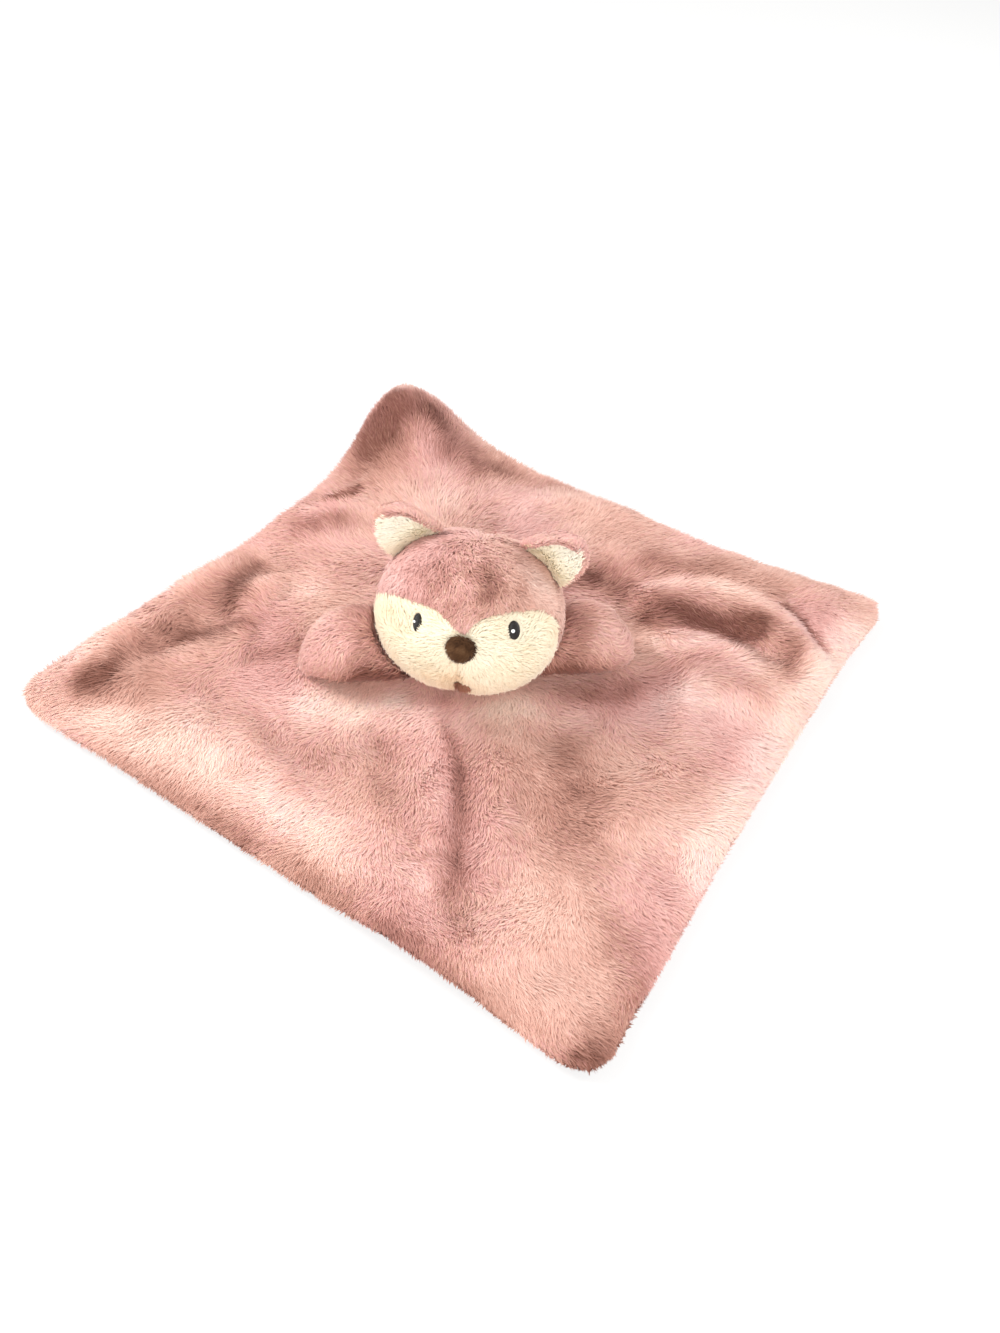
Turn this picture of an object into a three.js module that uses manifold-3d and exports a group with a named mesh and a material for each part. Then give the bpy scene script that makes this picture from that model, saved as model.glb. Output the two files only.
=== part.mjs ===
// Comfort blanket lovey: a square plush blanket of two layers, laid as a diamond, with a stuffed
// animal head and two stub arms sewn to its middle. Millimetres, +Z up, the front corner to -Y.
// The origin lies on the floor under the middle of the blanket.
import * as THREE from "three";
import { mergeVertices } from "three/addons/utils/BufferGeometryUtils.js";
import Module from "manifold-3d";

const wasm = await Module();
wasm.setup();

// Clearances
const GAP = 0.3;
const SEAM_GAP = 0.5;
const FACET_SAG = 0.6;
const OVERRUN = 4;
const WELD = 1e-4;

// Blanket
const BLANKET_REACH_X = 224.5;
const BLANKET_REACH_Y = 215.5;
const SIDE_CORNER_Y = 12;
const FRONT_CORNER_X = -7;
const BACK_CORNER_X = -15;
const BLANKET_THICKNESS = 12;
const SEAM_THREAD_DIAMETER = 0.6;
const EDGE_THICKNESS = 1.6;
const EDGE_ROLL_WIDTH = 13;
const CORNER_RADIUS = 19;
const FLAT_CUT_DEPTH = 0.5;
const FOLD_HEIGHT = 14;
const CREASE_DEPTH = 4;
const TENT_HEIGHT = 30;
const TENT_HALF_WIDTH = 33;
const BACK_LEFT_BOW = 15;
const BACK_RIGHT_BOW = 13;
const FRONT_LEFT_WAVE = 5;
const FRONT_RIGHT_BOW = 3;

// Head, in a frame turned with the face
const HEAD_CENTRE = new THREE.Vector3(-16, -4, 52);
const HEAD_TURN_DEGREES = -21.5;
const HEAD_HALF_WIDTH = 44.8;
const HEAD_HALF_DEPTH = 37.8;
const HEAD_HALF_HEIGHT = 38.2;
const SKIN_THICKNESS = 2.4;
const SNOUT_RISE = 3.2;
const CHEEK_RISE = 1.4;
const CHIN_SEAM_DEPTH = 0.8;
const NOSE_HALF_WIDTH = 5.2;
const NOSE_HALF_HEIGHT = 4.9;
const NOSE_RISE = 3.8;
const EYE_HALF_WIDTH = 2.9;
const EYE_HALF_HEIGHT = 4.5;
const EYE_RISE = 1.5;
const GLINT_HALF_SIZE = 0.9;
const GLINT_RISE = 0.6;
const MOUTH_HALF_WIDTH = 3.2;
const MOUTH_HALF_HEIGHT = 2.6;
const MOUTH_RISE = 1.2;

// Neck
const PIVOT_DROP = 8;
const NECK_RADIUS = 8.6;
const NECK_BALL_RADIUS = 10.4;
const NECK_WALL = 1.4;
const NECK_WAIST_DEPTH = 1.4;
const NECK_THREAD_DIAMETER = 1;
const NECK_THREAD_HEIGHT = 4.5;
const NECK_BALL_OPEN_DEGREES = 50;
const NOD_FORWARD_DEGREES = 15;
const NOD_BACK_DEGREES = 10;

// Ears
const EAR_HALF_WIDTH = 14;
const EAR_HEIGHT = 23;
const EAR_BACK_THICKNESS = 4.2;
const EAR_LINING_THICKNESS = 3.4;
const EAR_ROLL = 4;
const EAR_SEAT_GAP = 0.8;
const EAR_CUP_DEPTH = 5;
const EAR_CURL = 9;
const EAR_LEAN_DEGREES = 14;

// Arms
const ARM_REACH_LEFT = 81;
const ARM_REACH_RIGHT = 87;
const ARM_HALF_HEIGHT = 16.6;
const ARM_HALF_WIDTH = 19;
const ARM_TIP_LENGTH = 27;
const ARM_COVER_THICKNESS = 2;
const ARM_LEFT_DEGREES = 172.5;
const ARM_RIGHT_DEGREES = -3;
const ARM_HEAD_CLEARANCE = 3.7;
const ARM_FOLD_CLEARANCE = 11;

// Places on the head as [longitude, latitude] in degrees, from the face and from the horizontal
const BROW_PLACES = [
  [-80, 10],
  [-53, 33.5],
  [-27.5, 41],
  [-12, 38],
  [2, 31],
  [9, 38],
  [24, 43.5],
  [54, 40.5],
  [80, 19],
];
const SIDE_LEFT_PLACE = BROW_PLACES[0];
const SIDE_RIGHT_PLACE = BROW_PLACES[BROW_PLACES.length - 1];
const EAR_LEFT_PLACE = [-119, 36];
const EAR_RIGHT_PLACE = [119, 36];
const CROWN_PLACE = [180, 67];
const COLLAR_LATITUDE_DEGREES = -58;
const NOSE_PLACE = [2, 22];
const SNOUT_PLACE = [1.5, 14];
const EYE_LEFT_PLACE = [-35.3, 26.1];
const EYE_RIGHT_PLACE = [42, 30.7];
const MOUTH_PLACE = [6.5, -22];
const CHEEK_PLACES = [
  [-42, -2],
  [42, 2],
];
const FACE_LATITUDE_DEGREES = 22;

// Shares of the sizes above
const HEAD_SQUARENESS_SHARE = 2.15;
const SNOUT_SPREAD_SHARE = 0.42;
const CHEEK_SPREAD_SHARE = 0.5;
const CHIN_SEAM_SPREAD_SHARE = 0.2;
const CHIN_SEAM_FRONT_SHARE = 0.5;
const PAD_RIM_SHARE = 0.3;
const GLINT_OFFSET_SHARE = 0.4;
const ARM_ROOT_SHARE = 0.5;
const EAR_LINING_SIZE_SHARE = 0.76;
const EAR_ROLL_START_SHARE = 0.86;
const EAR_ROLL_TOP_SHARE = 0.95;
const EAR_THICK_SHARE = 0.3;
const EAR_ROOT_THICKNESS_SHARE = 0.3;
const EAR_RIM_THINNING_SHARE = 0.4;
const NECK_SHOULDER_SHARE = 0.92;
const SWING_FLAT_SHARE = 0.72;
const EDGE_CROWDING_SHARE = 0.45;
const TENT_START_SHARE = 0.53;
const TENT_TOP_SHARE = 0.86;
const TENT_DROP_START_SHARE = 0.84;
const TENT_DROP_SHARE = 0.45;
const CROWN_SEAM_SHARE = 0.65;

// Raised folds: three points along each, its half width and its height, as shares of
// BLANKET_REACH_X and of FOLD_HEIGHT
const FOLD_SHARES = [
  { path: [[0.35, 0.095], [0.62, 0.06], [0.725, -0.165]], width: 0.05, height: 1.05 },
  { path: [[0.4, -0.015], [0.54, -0.06], [0.68, -0.205]], width: 0.035, height: 0.35 },
  { path: [[0.36, -0.2], [0.46, -0.155], [0.62, -0.22]], width: 0.06, height: 0.5 },
  { path: [[0.3, 0.27], [0.6, 0.18], [0.85, 0.03]], width: 0.075, height: 0.55 },
  { path: [[0.06, 0.48], [0.26, 0.455], [0.46, 0.37]], width: 0.07, height: 0.5 },
  { path: [[-0.9, 0.085], [-0.75, 0.215], [-0.58, 0.345]], width: 0.05, height: 0.5 },
  { path: [[-0.82, 0.02], [-0.64, 0.075], [-0.5, 0.14]], width: 0.05, height: 0.35 },
  { path: [[-0.56, 0.225], [-0.46, 0.26], [-0.34, 0.25]], width: 0.05, height: 0.4 },
  { path: [[-0.44, 0.46], [-0.32, 0.545], [-0.18, 0.6]], width: 0.045, height: 0.45 },
  { path: [[-0.36, -0.62], [-0.2, -0.72], [-0.06, -0.68]], width: 0.08, height: 0.35 },
  { path: [[0.14, -0.5], [0.24, -0.42], [0.4, -0.46]], width: 0.08, height: 0.4 },
  { path: [[-0.06, -0.26], [-0.075, -0.4], [-0.13, -0.56]], width: 0.055, height: 0.35 },
  { path: [[-0.195, -0.26], [-0.205, -0.38], [-0.25, -0.5]], width: 0.045, height: 0.3 },
  { path: [[-0.72, -0.12], [-0.6, -0.16], [-0.44, -0.28]], width: 0.07, height: 0.3 },
];

// Creases pressed into the top layer, in the same way, with CREASE_DEPTH for the depth
const CREASE_SHARES = [
  { path: [[-0.115, -0.16], [-0.125, -0.36], [-0.205, -0.64]], width: 0.036, depth: 1 },
  { path: [[-0.278, -0.14], [-0.284, -0.25], [-0.29, -0.36]], width: 0.035, depth: 0.6 },
  { path: [[0.745, 0.06], [0.783, -0.015], [0.803, -0.1]], width: 0.035, depth: 0.9 },
  { path: [[-0.345, 0.575], [-0.29, 0.58], [-0.2, 0.635]], width: 0.035, depth: 0.9 },
  { path: [[-0.285, -0.493], [-0.225, -0.49], [-0.165, -0.5]], width: 0.03, depth: 0.4 },
];

// Counts
const BLANKET_CELLS = 23;
const STROKE_SAMPLES = 12;
const THREAD_SIDES = 6;
const PANEL_COLUMNS = 16;
const PANEL_ROWS = 7;
const BACK_PANEL_CELLS = 11;
const STUFFING_ROWS = 18;
const PAD_CELLS = 6;
const ROUND_SEGMENTS = 28;
const EAR_COLUMNS = 10;
const EAR_ROWS = 6;
const NECK_BALL_STEPS = 8;
const ARM_RINGS = 7;
const ARM_TIP_RINGS = 5;
const ARM_SIDES = 20;

// Finishes
const DUSTY_ROSE = 0xdca79d;
const CREAM = 0xf6ead2;
const plush = (color) => new THREE.MeshStandardMaterial({ color, roughness: 0.95, metalness: 0 });
const rosePlush = plush(DUSTY_ROSE);
const creamPlush = plush(CREAM);
const stuffing = plush(0xf4f2ec);
const brownPlush = plush(0x4a2b1c);
const blackThread = new THREE.MeshStandardMaterial({ color: 0x17120f, roughness: 0.5, metalness: 0 });
const whiteThread = new THREE.MeshStandardMaterial({ color: 0xffffff, roughness: 0.5, metalness: 0 });
const brownThread = new THREE.MeshStandardMaterial({ color: 0x4a2b1c, roughness: 0.6, metalness: 0 });
const roseThread = new THREE.MeshStandardMaterial({ color: 0xc98f86, roughness: 0.6, metalness: 0 });

const lovey = new THREE.Group();

const radians = THREE.MathUtils.degToRad;
const smoothstep = (low, high, value) => THREE.MathUtils.smoothstep(value, low, high);

function addPiece(name, geometry, material, parent = lovey) {
  const piece = new THREE.Mesh(geometry, material);
  piece.name = name;
  parent.add(piece);
  return piece;
}

// A closed mesh as a solid that can be cut, and back again.
function toSolid(geometry) {
  const bare = geometry.index ? geometry.toNonIndexed() : geometry.clone();
  bare.deleteAttribute("normal");
  bare.deleteAttribute("uv");
  const merged = mergeVertices(bare, WELD);
  const vertProperties = merged.attributes.position.array;
  const triVerts = new Uint32Array(merged.index.array);
  return new wasm.Manifold(new wasm.Mesh({ numProp: 3, vertProperties, triVerts }));
}

function toGeometry(solid) {
  const { vertProperties, triVerts } = solid.getMesh();
  const geometry = new THREE.BufferGeometry();
  geometry.setAttribute("position", new THREE.BufferAttribute(vertProperties, 3));
  geometry.setIndex(new THREE.BufferAttribute(triVerts, 1));
  return geometry;
}

// Turns a closed surface so that its faces point out: its signed volume is made positive.
function facingOut(positions, index) {
  const corner = index.map((i) => new THREE.Vector3().fromArray(positions, 3 * i));
  let volume = 0;
  for (let i = 0; i < corner.length; i += 3) {
    volume += corner[i].dot(corner[i + 1].clone().cross(corner[i + 2]));
  }
  const turned = volume < 0 ? index.toReversed() : index;
  const geometry = new THREE.BufferGeometry();
  geometry.setAttribute("position", new THREE.Float32BufferAttribute(positions, 3));
  geometry.setIndex(turned);
  return geometry;
}

// A closed slab between two surfaces of u and v, each from 0 to 1.
function slab(outer, inner, columns, rows) {
  const stride = columns + 1;
  const layer = stride * (rows + 1);
  const positions = [];
  for (const surface of [outer, inner]) {
    for (let j = 0; j <= rows; j++) {
      for (let i = 0; i <= columns; i++) {
        positions.push(...surface(i / columns, j / rows).toArray());
      }
    }
  }
  const index = [];
  const quad = (a, b, c, d) => index.push(a, b, c, a, c, d);
  for (let j = 0; j < rows; j++) {
    for (let i = 0; i < columns; i++) {
      const a = j * stride + i;
      quad(a, a + 1, a + stride + 1, a + stride);
      quad(layer + a, layer + a + stride, layer + a + stride + 1, layer + a + 1);
    }
  }
  const wall = (a, b) => quad(b, a, layer + a, layer + b);
  for (let i = 0; i < columns; i++) {
    wall(i, i + 1);
    wall(rows * stride + i + 1, rows * stride + i);
  }
  for (let j = 0; j < rows; j++) {
    wall((j + 1) * stride, j * stride);
    wall(j * stride + columns, (j + 1) * stride + columns);
  }
  return facingOut(positions, index);
}

// A lathe about +Z from [radius, height] points.
function turned(profile, segments = ROUND_SEGMENTS) {
  const points = profile.map(([radius, height]) => new THREE.Vector2(radius, height));
  return new THREE.LatheGeometry(points, segments).rotateX(Math.PI / 2);
}

// Maps the square of -1 to 1 onto the unit disc with no pole.
function squareToDisc(a, b) {
  return [a * Math.sqrt(1 - (b * b) / 2), b * Math.sqrt(1 - (a * a) / 2)];
}

// Blanket surface. Shares s and t run from -1 to 1 over the sewn square: the left corner is at
// (-1, -1), the front corner at (1, -1), the right corner at (1, 1), the back corner at (-1, 1).
const cornerRoundShare = (2 * CORNER_RADIUS) / Math.hypot(BLANKET_REACH_X, BLANKET_REACH_Y);
const cornerReach = 1 / (1 - cornerRoundShare * (1 - Math.SQRT1_2));
const cornerPoint = {
  left: new THREE.Vector2(-BLANKET_REACH_X * cornerReach, SIDE_CORNER_Y),
  front: new THREE.Vector2(FRONT_CORNER_X, -BLANKET_REACH_Y * cornerReach),
  right: new THREE.Vector2(BLANKET_REACH_X * cornerReach, SIDE_CORNER_Y),
  back: new THREE.Vector2(BACK_CORNER_X, BLANKET_REACH_Y * cornerReach),
};

// Rounds the four corners of the share square with quarter discs.
function roundedShares(s, t) {
  const edge = 1 - cornerRoundShare;
  const over = [Math.abs(s) - edge, Math.abs(t) - edge];
  if (over[0] <= 0 || over[1] <= 0) return [s, t];
  const [p, q] = squareToDisc(over[0] / cornerRoundShare, over[1] / cornerRoundShare);
  const round = [edge + p * cornerRoundShare, edge + q * cornerRoundShare];
  return [Math.sign(s) * round[0], Math.sign(t) * round[1]];
}

// Share of a grid line, closer together at the edges so that the roll keeps its round form.
function gridShare(u) {
  const along = 2 * u - 1;
  const crowded = Math.sin((along * Math.PI) / 2);
  return along + (crowded - along) * EDGE_CROWDING_SHARE;
}

function sewnOutline(s, t) {
  const [p, q] = roundedShares(s, t);
  const { left, front, right, back } = cornerPoint;
  const place = new THREE.Vector2();
  place.addScaledVector(left, ((1 - p) * (1 - q)) / 4);
  place.addScaledVector(front, ((1 + p) * (1 - q)) / 4);
  place.addScaledVector(right, ((1 + p) * (1 + q)) / 4);
  place.addScaledVector(back, ((1 - p) * (1 + q)) / 4);
  const inwards = (from, to) => {
    const along = to.clone().sub(from).normalize();
    return new THREE.Vector2(along.y, -along.x);
  };
  const bowAtBackRight = BACK_RIGHT_BOW * (1 - p * p) * ((1 + q) / 2) ** 2;
  const bowAtBackLeft = BACK_LEFT_BOW * (1 - q * q) * ((1 - p) / 2) ** 2 * (1 + q / 2);
  place.addScaledVector(inwards(back, right), bowAtBackRight);
  place.addScaledVector(inwards(left, back), bowAtBackLeft);
  place.addScaledVector(inwards(right, front), FRONT_RIGHT_BOW * (1 - q * q) * ((1 + p) / 2));
  place.addScaledVector(inwards(front, left), FRONT_LEFT_WAVE * (1 - p * p) * p * ((1 - q) / 2));
  return place;
}

// The outline's own box is brought over the origin.
const outlineBox = new THREE.Box2();
for (let i = 0; i <= BLANKET_CELLS; i++) {
  const along = gridShare(i / BLANKET_CELLS);
  for (const [s, t] of [[along, -1], [1, along], [along, 1], [-1, along]]) {
    outlineBox.expandByPoint(sewnOutline(s, t));
  }
}
const outlineMiddle = outlineBox.getCenter(new THREE.Vector2());
const blanketPlan = (s, t) => sewnOutline(s, t).sub(outlineMiddle);

// The height that a stroke adds: a soft brush drawn along a curve through three points.
function strokeHeight(place, path, width) {
  const [a, b, c] = path.map(([x, y]) => new THREE.Vector2(x, y).multiplyScalar(BLANKET_REACH_X));
  const middle = a.clone().add(c).divideScalar(2);
  const curve = new THREE.QuadraticBezierCurve(a, b.clone().multiplyScalar(2).sub(middle), c);
  const radius = width * BLANKET_REACH_X;
  const step = (a.distanceTo(b) + b.distanceTo(c)) / STROKE_SAMPLES;
  let sum = 0;
  for (let i = 0; i <= STROKE_SAMPLES; i++) {
    const distance = curve.getPoint(i / STROKE_SAMPLES).distanceTo(place);
    sum += Math.exp(-((distance / radius) ** 2));
  }
  return (sum * step) / (radius * Math.sqrt(Math.PI));
}

// The blanket lies flat round the head and under the arms as far as they swing.
function foldFreedom(place) {
  const x = place.x - HEAD_CENTRE.x;
  const y = place.y - HEAD_CENTRE.y;
  const distance = Math.hypot(x, y);
  const sideways = 1 - smoothstep(SWING_FLAT_SHARE, 1, Math.abs(y) / Math.max(distance, GAP));
  const armFlat = ARM_REACH_RIGHT + ARM_FOLD_CLEARANCE - HEAD_HALF_WIDTH;
  const flatRadius = HEAD_HALF_WIDTH + armFlat * sideways;
  return smoothstep(flatRadius, flatRadius + EDGE_ROLL_WIDTH, distance);
}

function blanketLift(place) {
  let lift = 0;
  for (const fold of FOLD_SHARES) {
    lift += FOLD_HEIGHT * fold.height * strokeHeight(place, fold.path, fold.width);
  }
  const across = (place.x - BACK_CORNER_X) / TENT_HALF_WIDTH;
  const along = place.y / BLANKET_REACH_Y;
  const rise = smoothstep(TENT_START_SHARE, TENT_TOP_SHARE, along);
  const fall = smoothstep(TENT_DROP_START_SHARE, 1, along);
  lift += TENT_HEIGHT * Math.exp(-(across ** 2)) * rise * (1 - TENT_DROP_SHARE * fall);
  return lift * foldFreedom(place);
}

function creaseDepth(place) {
  let depth = 0;
  for (const crease of CREASE_SHARES) {
    depth += CREASE_DEPTH * crease.depth * strokeHeight(place, crease.path, crease.width);
  }
  return depth;
}

// How full the layers are: 1 inside, falling in a round roll to 0 at the sewn edge.
function edgeFullness(s, t) {
  const halfSide = Math.hypot(BLANKET_REACH_X, BLANKET_REACH_Y) / 2;
  const inset = (1 - Math.max(Math.abs(s), Math.abs(t))) * halfSide;
  const share = Math.min(inset / EDGE_ROLL_WIDTH, 1);
  return Math.sqrt(1 - (1 - share) ** 2);
}

const layerGap = SEAM_THREAD_DIAMETER + 2 * GAP;
const layerThickness = (BLANKET_THICKNESS - layerGap) / 2;
const blanketMiddle = BLANKET_THICKNESS / 2;

function blanketPoint(u, v, heightAt) {
  const s = gridShare(u);
  const t = gridShare(v);
  const place = blanketPlan(s, t);
  return new THREE.Vector3(place.x, place.y, heightAt(place, s, t));
}

const layerAt = (s, t) => EDGE_THICKNESS + (layerThickness - EDGE_THICKNESS) * edgeFullness(s, t);
const middleAt = (place) => blanketMiddle + blanketLift(place);
const topOuter = (place, s, t) => {
  const crease = Math.min(creaseDepth(place), layerAt(s, t) - EDGE_THICKNESS);
  return middleAt(place) + layerGap / 2 + layerAt(s, t) - crease;
};
const topInner = (place) => middleAt(place) + layerGap / 2;
const backInner = (place) => middleAt(place) - layerGap / 2;
const backOuter = (place, s, t) => {
  const underside = middleAt(place) - layerGap / 2 - layerAt(s, t) - FLAT_CUT_DEPTH;
  return Math.max(0, underside);
};

const panelOf = (outer, inner) => {
  return slab(
    (u, v) => blanketPoint(u, v, outer),
    (u, v) => blanketPoint(u, v, inner),
    BLANKET_CELLS,
    BLANKET_CELLS,
  );
};
addPiece("blanket_top_panel", panelOf(topOuter, topInner), rosePlush);
addPiece("blanket_back_panel", panelOf(backOuter, backInner), rosePlush);

// The edge seam: one thread that runs between the layers along the grid line next to the edge.
function threadAlong(centres, diameter, sides) {
  const count = centres.length;
  const positions = [];
  const index = [];
  centres.forEach((centre, i) => {
    const before = centres[(i + count - 1) % count];
    const after = centres[(i + 1) % count];
    const along = after.clone().sub(before).normalize();
    const sideways = new THREE.Vector3(0, 0, 1).cross(along).normalize();
    const up = along.clone().cross(sideways);
    for (let k = 0; k < sides; k++) {
      const angle = (2 * Math.PI * k) / sides;
      const point = centre.clone();
      point.addScaledVector(sideways, (diameter / 2) * Math.cos(angle));
      point.addScaledVector(up, (diameter / 2) * Math.sin(angle));
      positions.push(...point.toArray());
    }
  });
  for (let i = 0; i < count; i++) {
    for (let k = 0; k < sides; k++) {
      const a = i * sides + k;
      const b = i * sides + ((k + 1) % sides);
      const c = ((i + 1) % count) * sides + k;
      const d = ((i + 1) % count) * sides + ((k + 1) % sides);
      index.push(a, c, b, b, c, d);
    }
  }
  return facingOut(positions, index);
}

const seamLine = 1 / BLANKET_CELLS;
const seamCentres = [];
for (let side = 0; side < 4; side++) {
  for (let i = 1; i < BLANKET_CELLS - 1; i++) {
    const along = i / BLANKET_CELLS;
    const [u, v] = [
      [along, seamLine],
      [1 - seamLine, along],
      [1 - along, 1 - seamLine],
      [seamLine, 1 - along],
    ][side];
    seamCentres.push(blanketPoint(u, v, middleAt));
  }
}
const seamThread = threadAlong(seamCentres, SEAM_THREAD_DIAMETER, THREAD_SIDES);
addPiece("blanket_edge_seam", seamThread, roseThread);

// The head's frame: +X to its left ear as the viewer sees the right, -Y out of the face.
const head = new THREE.Group();
head.position.copy(HEAD_CENTRE);
head.rotation.z = radians(HEAD_TURN_DEGREES);
lovey.add(head);

function directionOf([longitude, latitude]) {
  const turn = radians(longitude);
  const climb = radians(latitude);
  return new THREE.Vector3(
    Math.cos(climb) * Math.sin(turn),
    -Math.cos(climb) * Math.cos(turn),
    Math.sin(climb),
  );
}

// A soft rise round a direction: 1 at the direction, less away from it.
function riseAround(direction, middle, spread) {
  return Math.exp(-((direction.angleTo(middle) / spread) ** 2));
}

const snoutMiddle = directionOf(SNOUT_PLACE);
const cheekMiddles = CHEEK_PLACES.map(directionOf);

// The head's radius in a direction: a rounded box, fuller at the snout and the cheeks, drawn in
// along the chin seam.
function headRadius(direction) {
  const n = HEAD_SQUARENESS_SHARE;
  const x = Math.abs(direction.x) / HEAD_HALF_WIDTH;
  const y = Math.abs(direction.y) / HEAD_HALF_DEPTH;
  const z = Math.abs(direction.z) / HEAD_HALF_HEIGHT;
  let radius = (x ** n + y ** n + z ** n) ** (-1 / n);
  radius += SNOUT_RISE * riseAround(direction, snoutMiddle, SNOUT_SPREAD_SHARE);
  for (const cheek of cheekMiddles) {
    radius += CHEEK_RISE * riseAround(direction, cheek, CHEEK_SPREAD_SHARE);
  }
  const seam = Math.exp(-((direction.x / CHIN_SEAM_SPREAD_SHARE) ** 2));
  const below = 1 - smoothstep(0, Math.sin(radians(NOSE_PLACE[1])), direction.z);
  const front = smoothstep(0, CHIN_SEAM_FRONT_SHARE, -direction.y);
  radius -= CHIN_SEAM_DEPTH * seam * below * front;
  return radius;
}

function headPoint(direction, offset) {
  const unit = direction.clone().normalize();
  return unit.multiplyScalar(headRadius(unit) + offset);
}

// The face of a sewn panel between four seams, each a function of a share from 0 to 1.
function panelDirection(seams, u, v) {
  const { bottom, top, left, right } = seams;
  const point = new THREE.Vector3();
  point.addScaledVector(bottom(u), 1 - v).addScaledVector(top(u), v);
  point.addScaledVector(left(v), 1 - u).addScaledVector(right(v), u);
  point.addScaledVector(bottom(0), -(1 - u) * (1 - v)).addScaledVector(bottom(1), -u * (1 - v));
  point.addScaledVector(top(0), -(1 - u) * v).addScaledVector(top(1), -u * v);
  return point.normalize();
}

function headPanel(name, seams, columns, rows, material) {
  const at = (u, v) => headPoint(panelDirection(seams, u, v), 0);
  const inset = (start, middle, end) => {
    return SEAM_GAP / (start.distanceTo(middle) + middle.distanceTo(end));
  };
  const surface = (offset) => (u, v) => {
    const insetU = inset(at(0, v), at(0.5, v), at(1, v));
    const insetV = inset(at(u, 0), at(u, 0.5), at(u, 1));
    const inU = insetU + u * (1 - 2 * insetU);
    const inV = insetV + v * (1 - 2 * insetV);
    return headPoint(panelDirection(seams, inU, inV), offset);
  };
  addPiece(name, slab(surface(0), surface(-SKIN_THICKNESS), columns, rows), material, head);
}

// A seam through places on the head, and a straight stretch between two of them.
const seamThrough = (places) => new THREE.CatmullRomCurve3(places.map(directionOf));
const between = (from, to) => {
  const a = directionOf(from);
  const b = directionOf(to);
  return (share) => a.clone().lerp(b, share).normalize();
};

const brow = seamThrough(BROW_PLACES);
const crown = seamThrough([EAR_LEFT_PLACE, CROWN_PLACE, EAR_RIGHT_PLACE]);
const browPlace = BROW_PLACES[(BROW_PLACES.length - 1) / 2];
const collarAt = (longitude) => [longitude, COLLAR_LATITUDE_DEGREES];
const collar = (from, to) => (share) => directionOf(collarAt(from + (to - from) * share));

headPanel(
  "forehead_panel",
  {
    bottom: (u) => brow.getPoint(u),
    top: (u) => crown.getPoint(u),
    left: between(SIDE_LEFT_PLACE, EAR_LEFT_PLACE),
    right: between(SIDE_RIGHT_PLACE, EAR_RIGHT_PLACE),
  },
  PANEL_COLUMNS,
  PANEL_ROWS,
  rosePlush,
);

for (const side of [
  { name: "left", place: SIDE_LEFT_PLACE, ear: EAR_LEFT_PLACE, browEnd: 0, back: -180 },
  { name: "right", place: SIDE_RIGHT_PLACE, ear: EAR_RIGHT_PLACE, browEnd: 1, back: 180 },
]) {
  const longitude = side.place[0];
  headPanel(
    "cheek_panel_" + side.name,
    {
      bottom: collar(0, longitude),
      top: (u) => brow.getPoint(0.5 + (side.browEnd - 0.5) * u),
      left: between(collarAt(0), browPlace),
      right: between(collarAt(longitude), side.place),
    },
    PANEL_COLUMNS / 2,
    PANEL_ROWS,
    creamPlush,
  );
  const crownHalf = (share) => crown.getPoint(0.5 + (side.browEnd - 0.5) * share);
  const belowEar = between(side.ear, side.place);
  const belowEarShare = (u) => (u - CROWN_SEAM_SHARE) / (1 - CROWN_SEAM_SHARE);
  headPanel(
    "head_back_panel_" + side.name,
    {
      bottom: collar(side.back, longitude),
      top: (u) => (u < CROWN_SEAM_SHARE ? crownHalf(u / CROWN_SEAM_SHARE) : belowEar(belowEarShare(u))),
      left: between(collarAt(side.back), CROWN_PLACE),
      right: between(collarAt(longitude), side.place),
    },
    BACK_PANEL_CELLS,
    BACK_PANEL_CELLS,
    rosePlush,
  );
}

// The stuffing fills the skin and leaves a socket for the neck: a ball, and below it a cone that
// clears the neck wherever the head nods.
const pivot = new THREE.Vector3(0, 0, -PIVOT_DROP);
const neckFoot = BLANKET_THICKNESS + GAP - HEAD_CENTRE.z;
const neckLength = pivot.z - neckFoot;

const nodMiddle = radians((NOD_FORWARD_DEGREES - NOD_BACK_DEGREES) / 2);
const nodHalf = radians((NOD_FORWARD_DEGREES + NOD_BACK_DEGREES) / 2);
const socketDepth = HEAD_HALF_HEIGHT + OVERRUN;
const socketThroat = (NECK_RADIUS + GAP) / Math.cos(nodHalf) + GAP;
const socketCone = turned([
  [0, -socketDepth],
  [socketThroat + socketDepth * Math.tan(nodHalf), -socketDepth],
  [socketThroat, 0],
  [0, 0],
]);
socketCone.rotateX(-nodMiddle).translate(pivot.x, pivot.y, pivot.z);
const ballGap = NECK_BALL_RADIUS + GAP;
const socketBall = new THREE.SphereGeometry(ballGap, ROUND_SEGMENTS, ROUND_SEGMENTS / 2);
socketBall.translate(pivot.x, pivot.y, pivot.z);

const coreForm = new THREE.SphereGeometry(1, ROUND_SEGMENTS, STUFFING_ROWS).rotateX(Math.PI / 2);
const corePositions = coreForm.attributes.position;
for (let i = 0; i < corePositions.count; i++) {
  const direction = new THREE.Vector3().fromBufferAttribute(corePositions, i);
  const point = headPoint(direction, -SKIN_THICKNESS - GAP - FACET_SAG);
  corePositions.setXYZ(i, point.x, point.y, point.z);
}
const core = toSolid(coreForm).subtract(toSolid(socketBall)).subtract(toSolid(socketCone));
addPiece("head_stuffing", toGeometry(core), stuffing, head);

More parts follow.
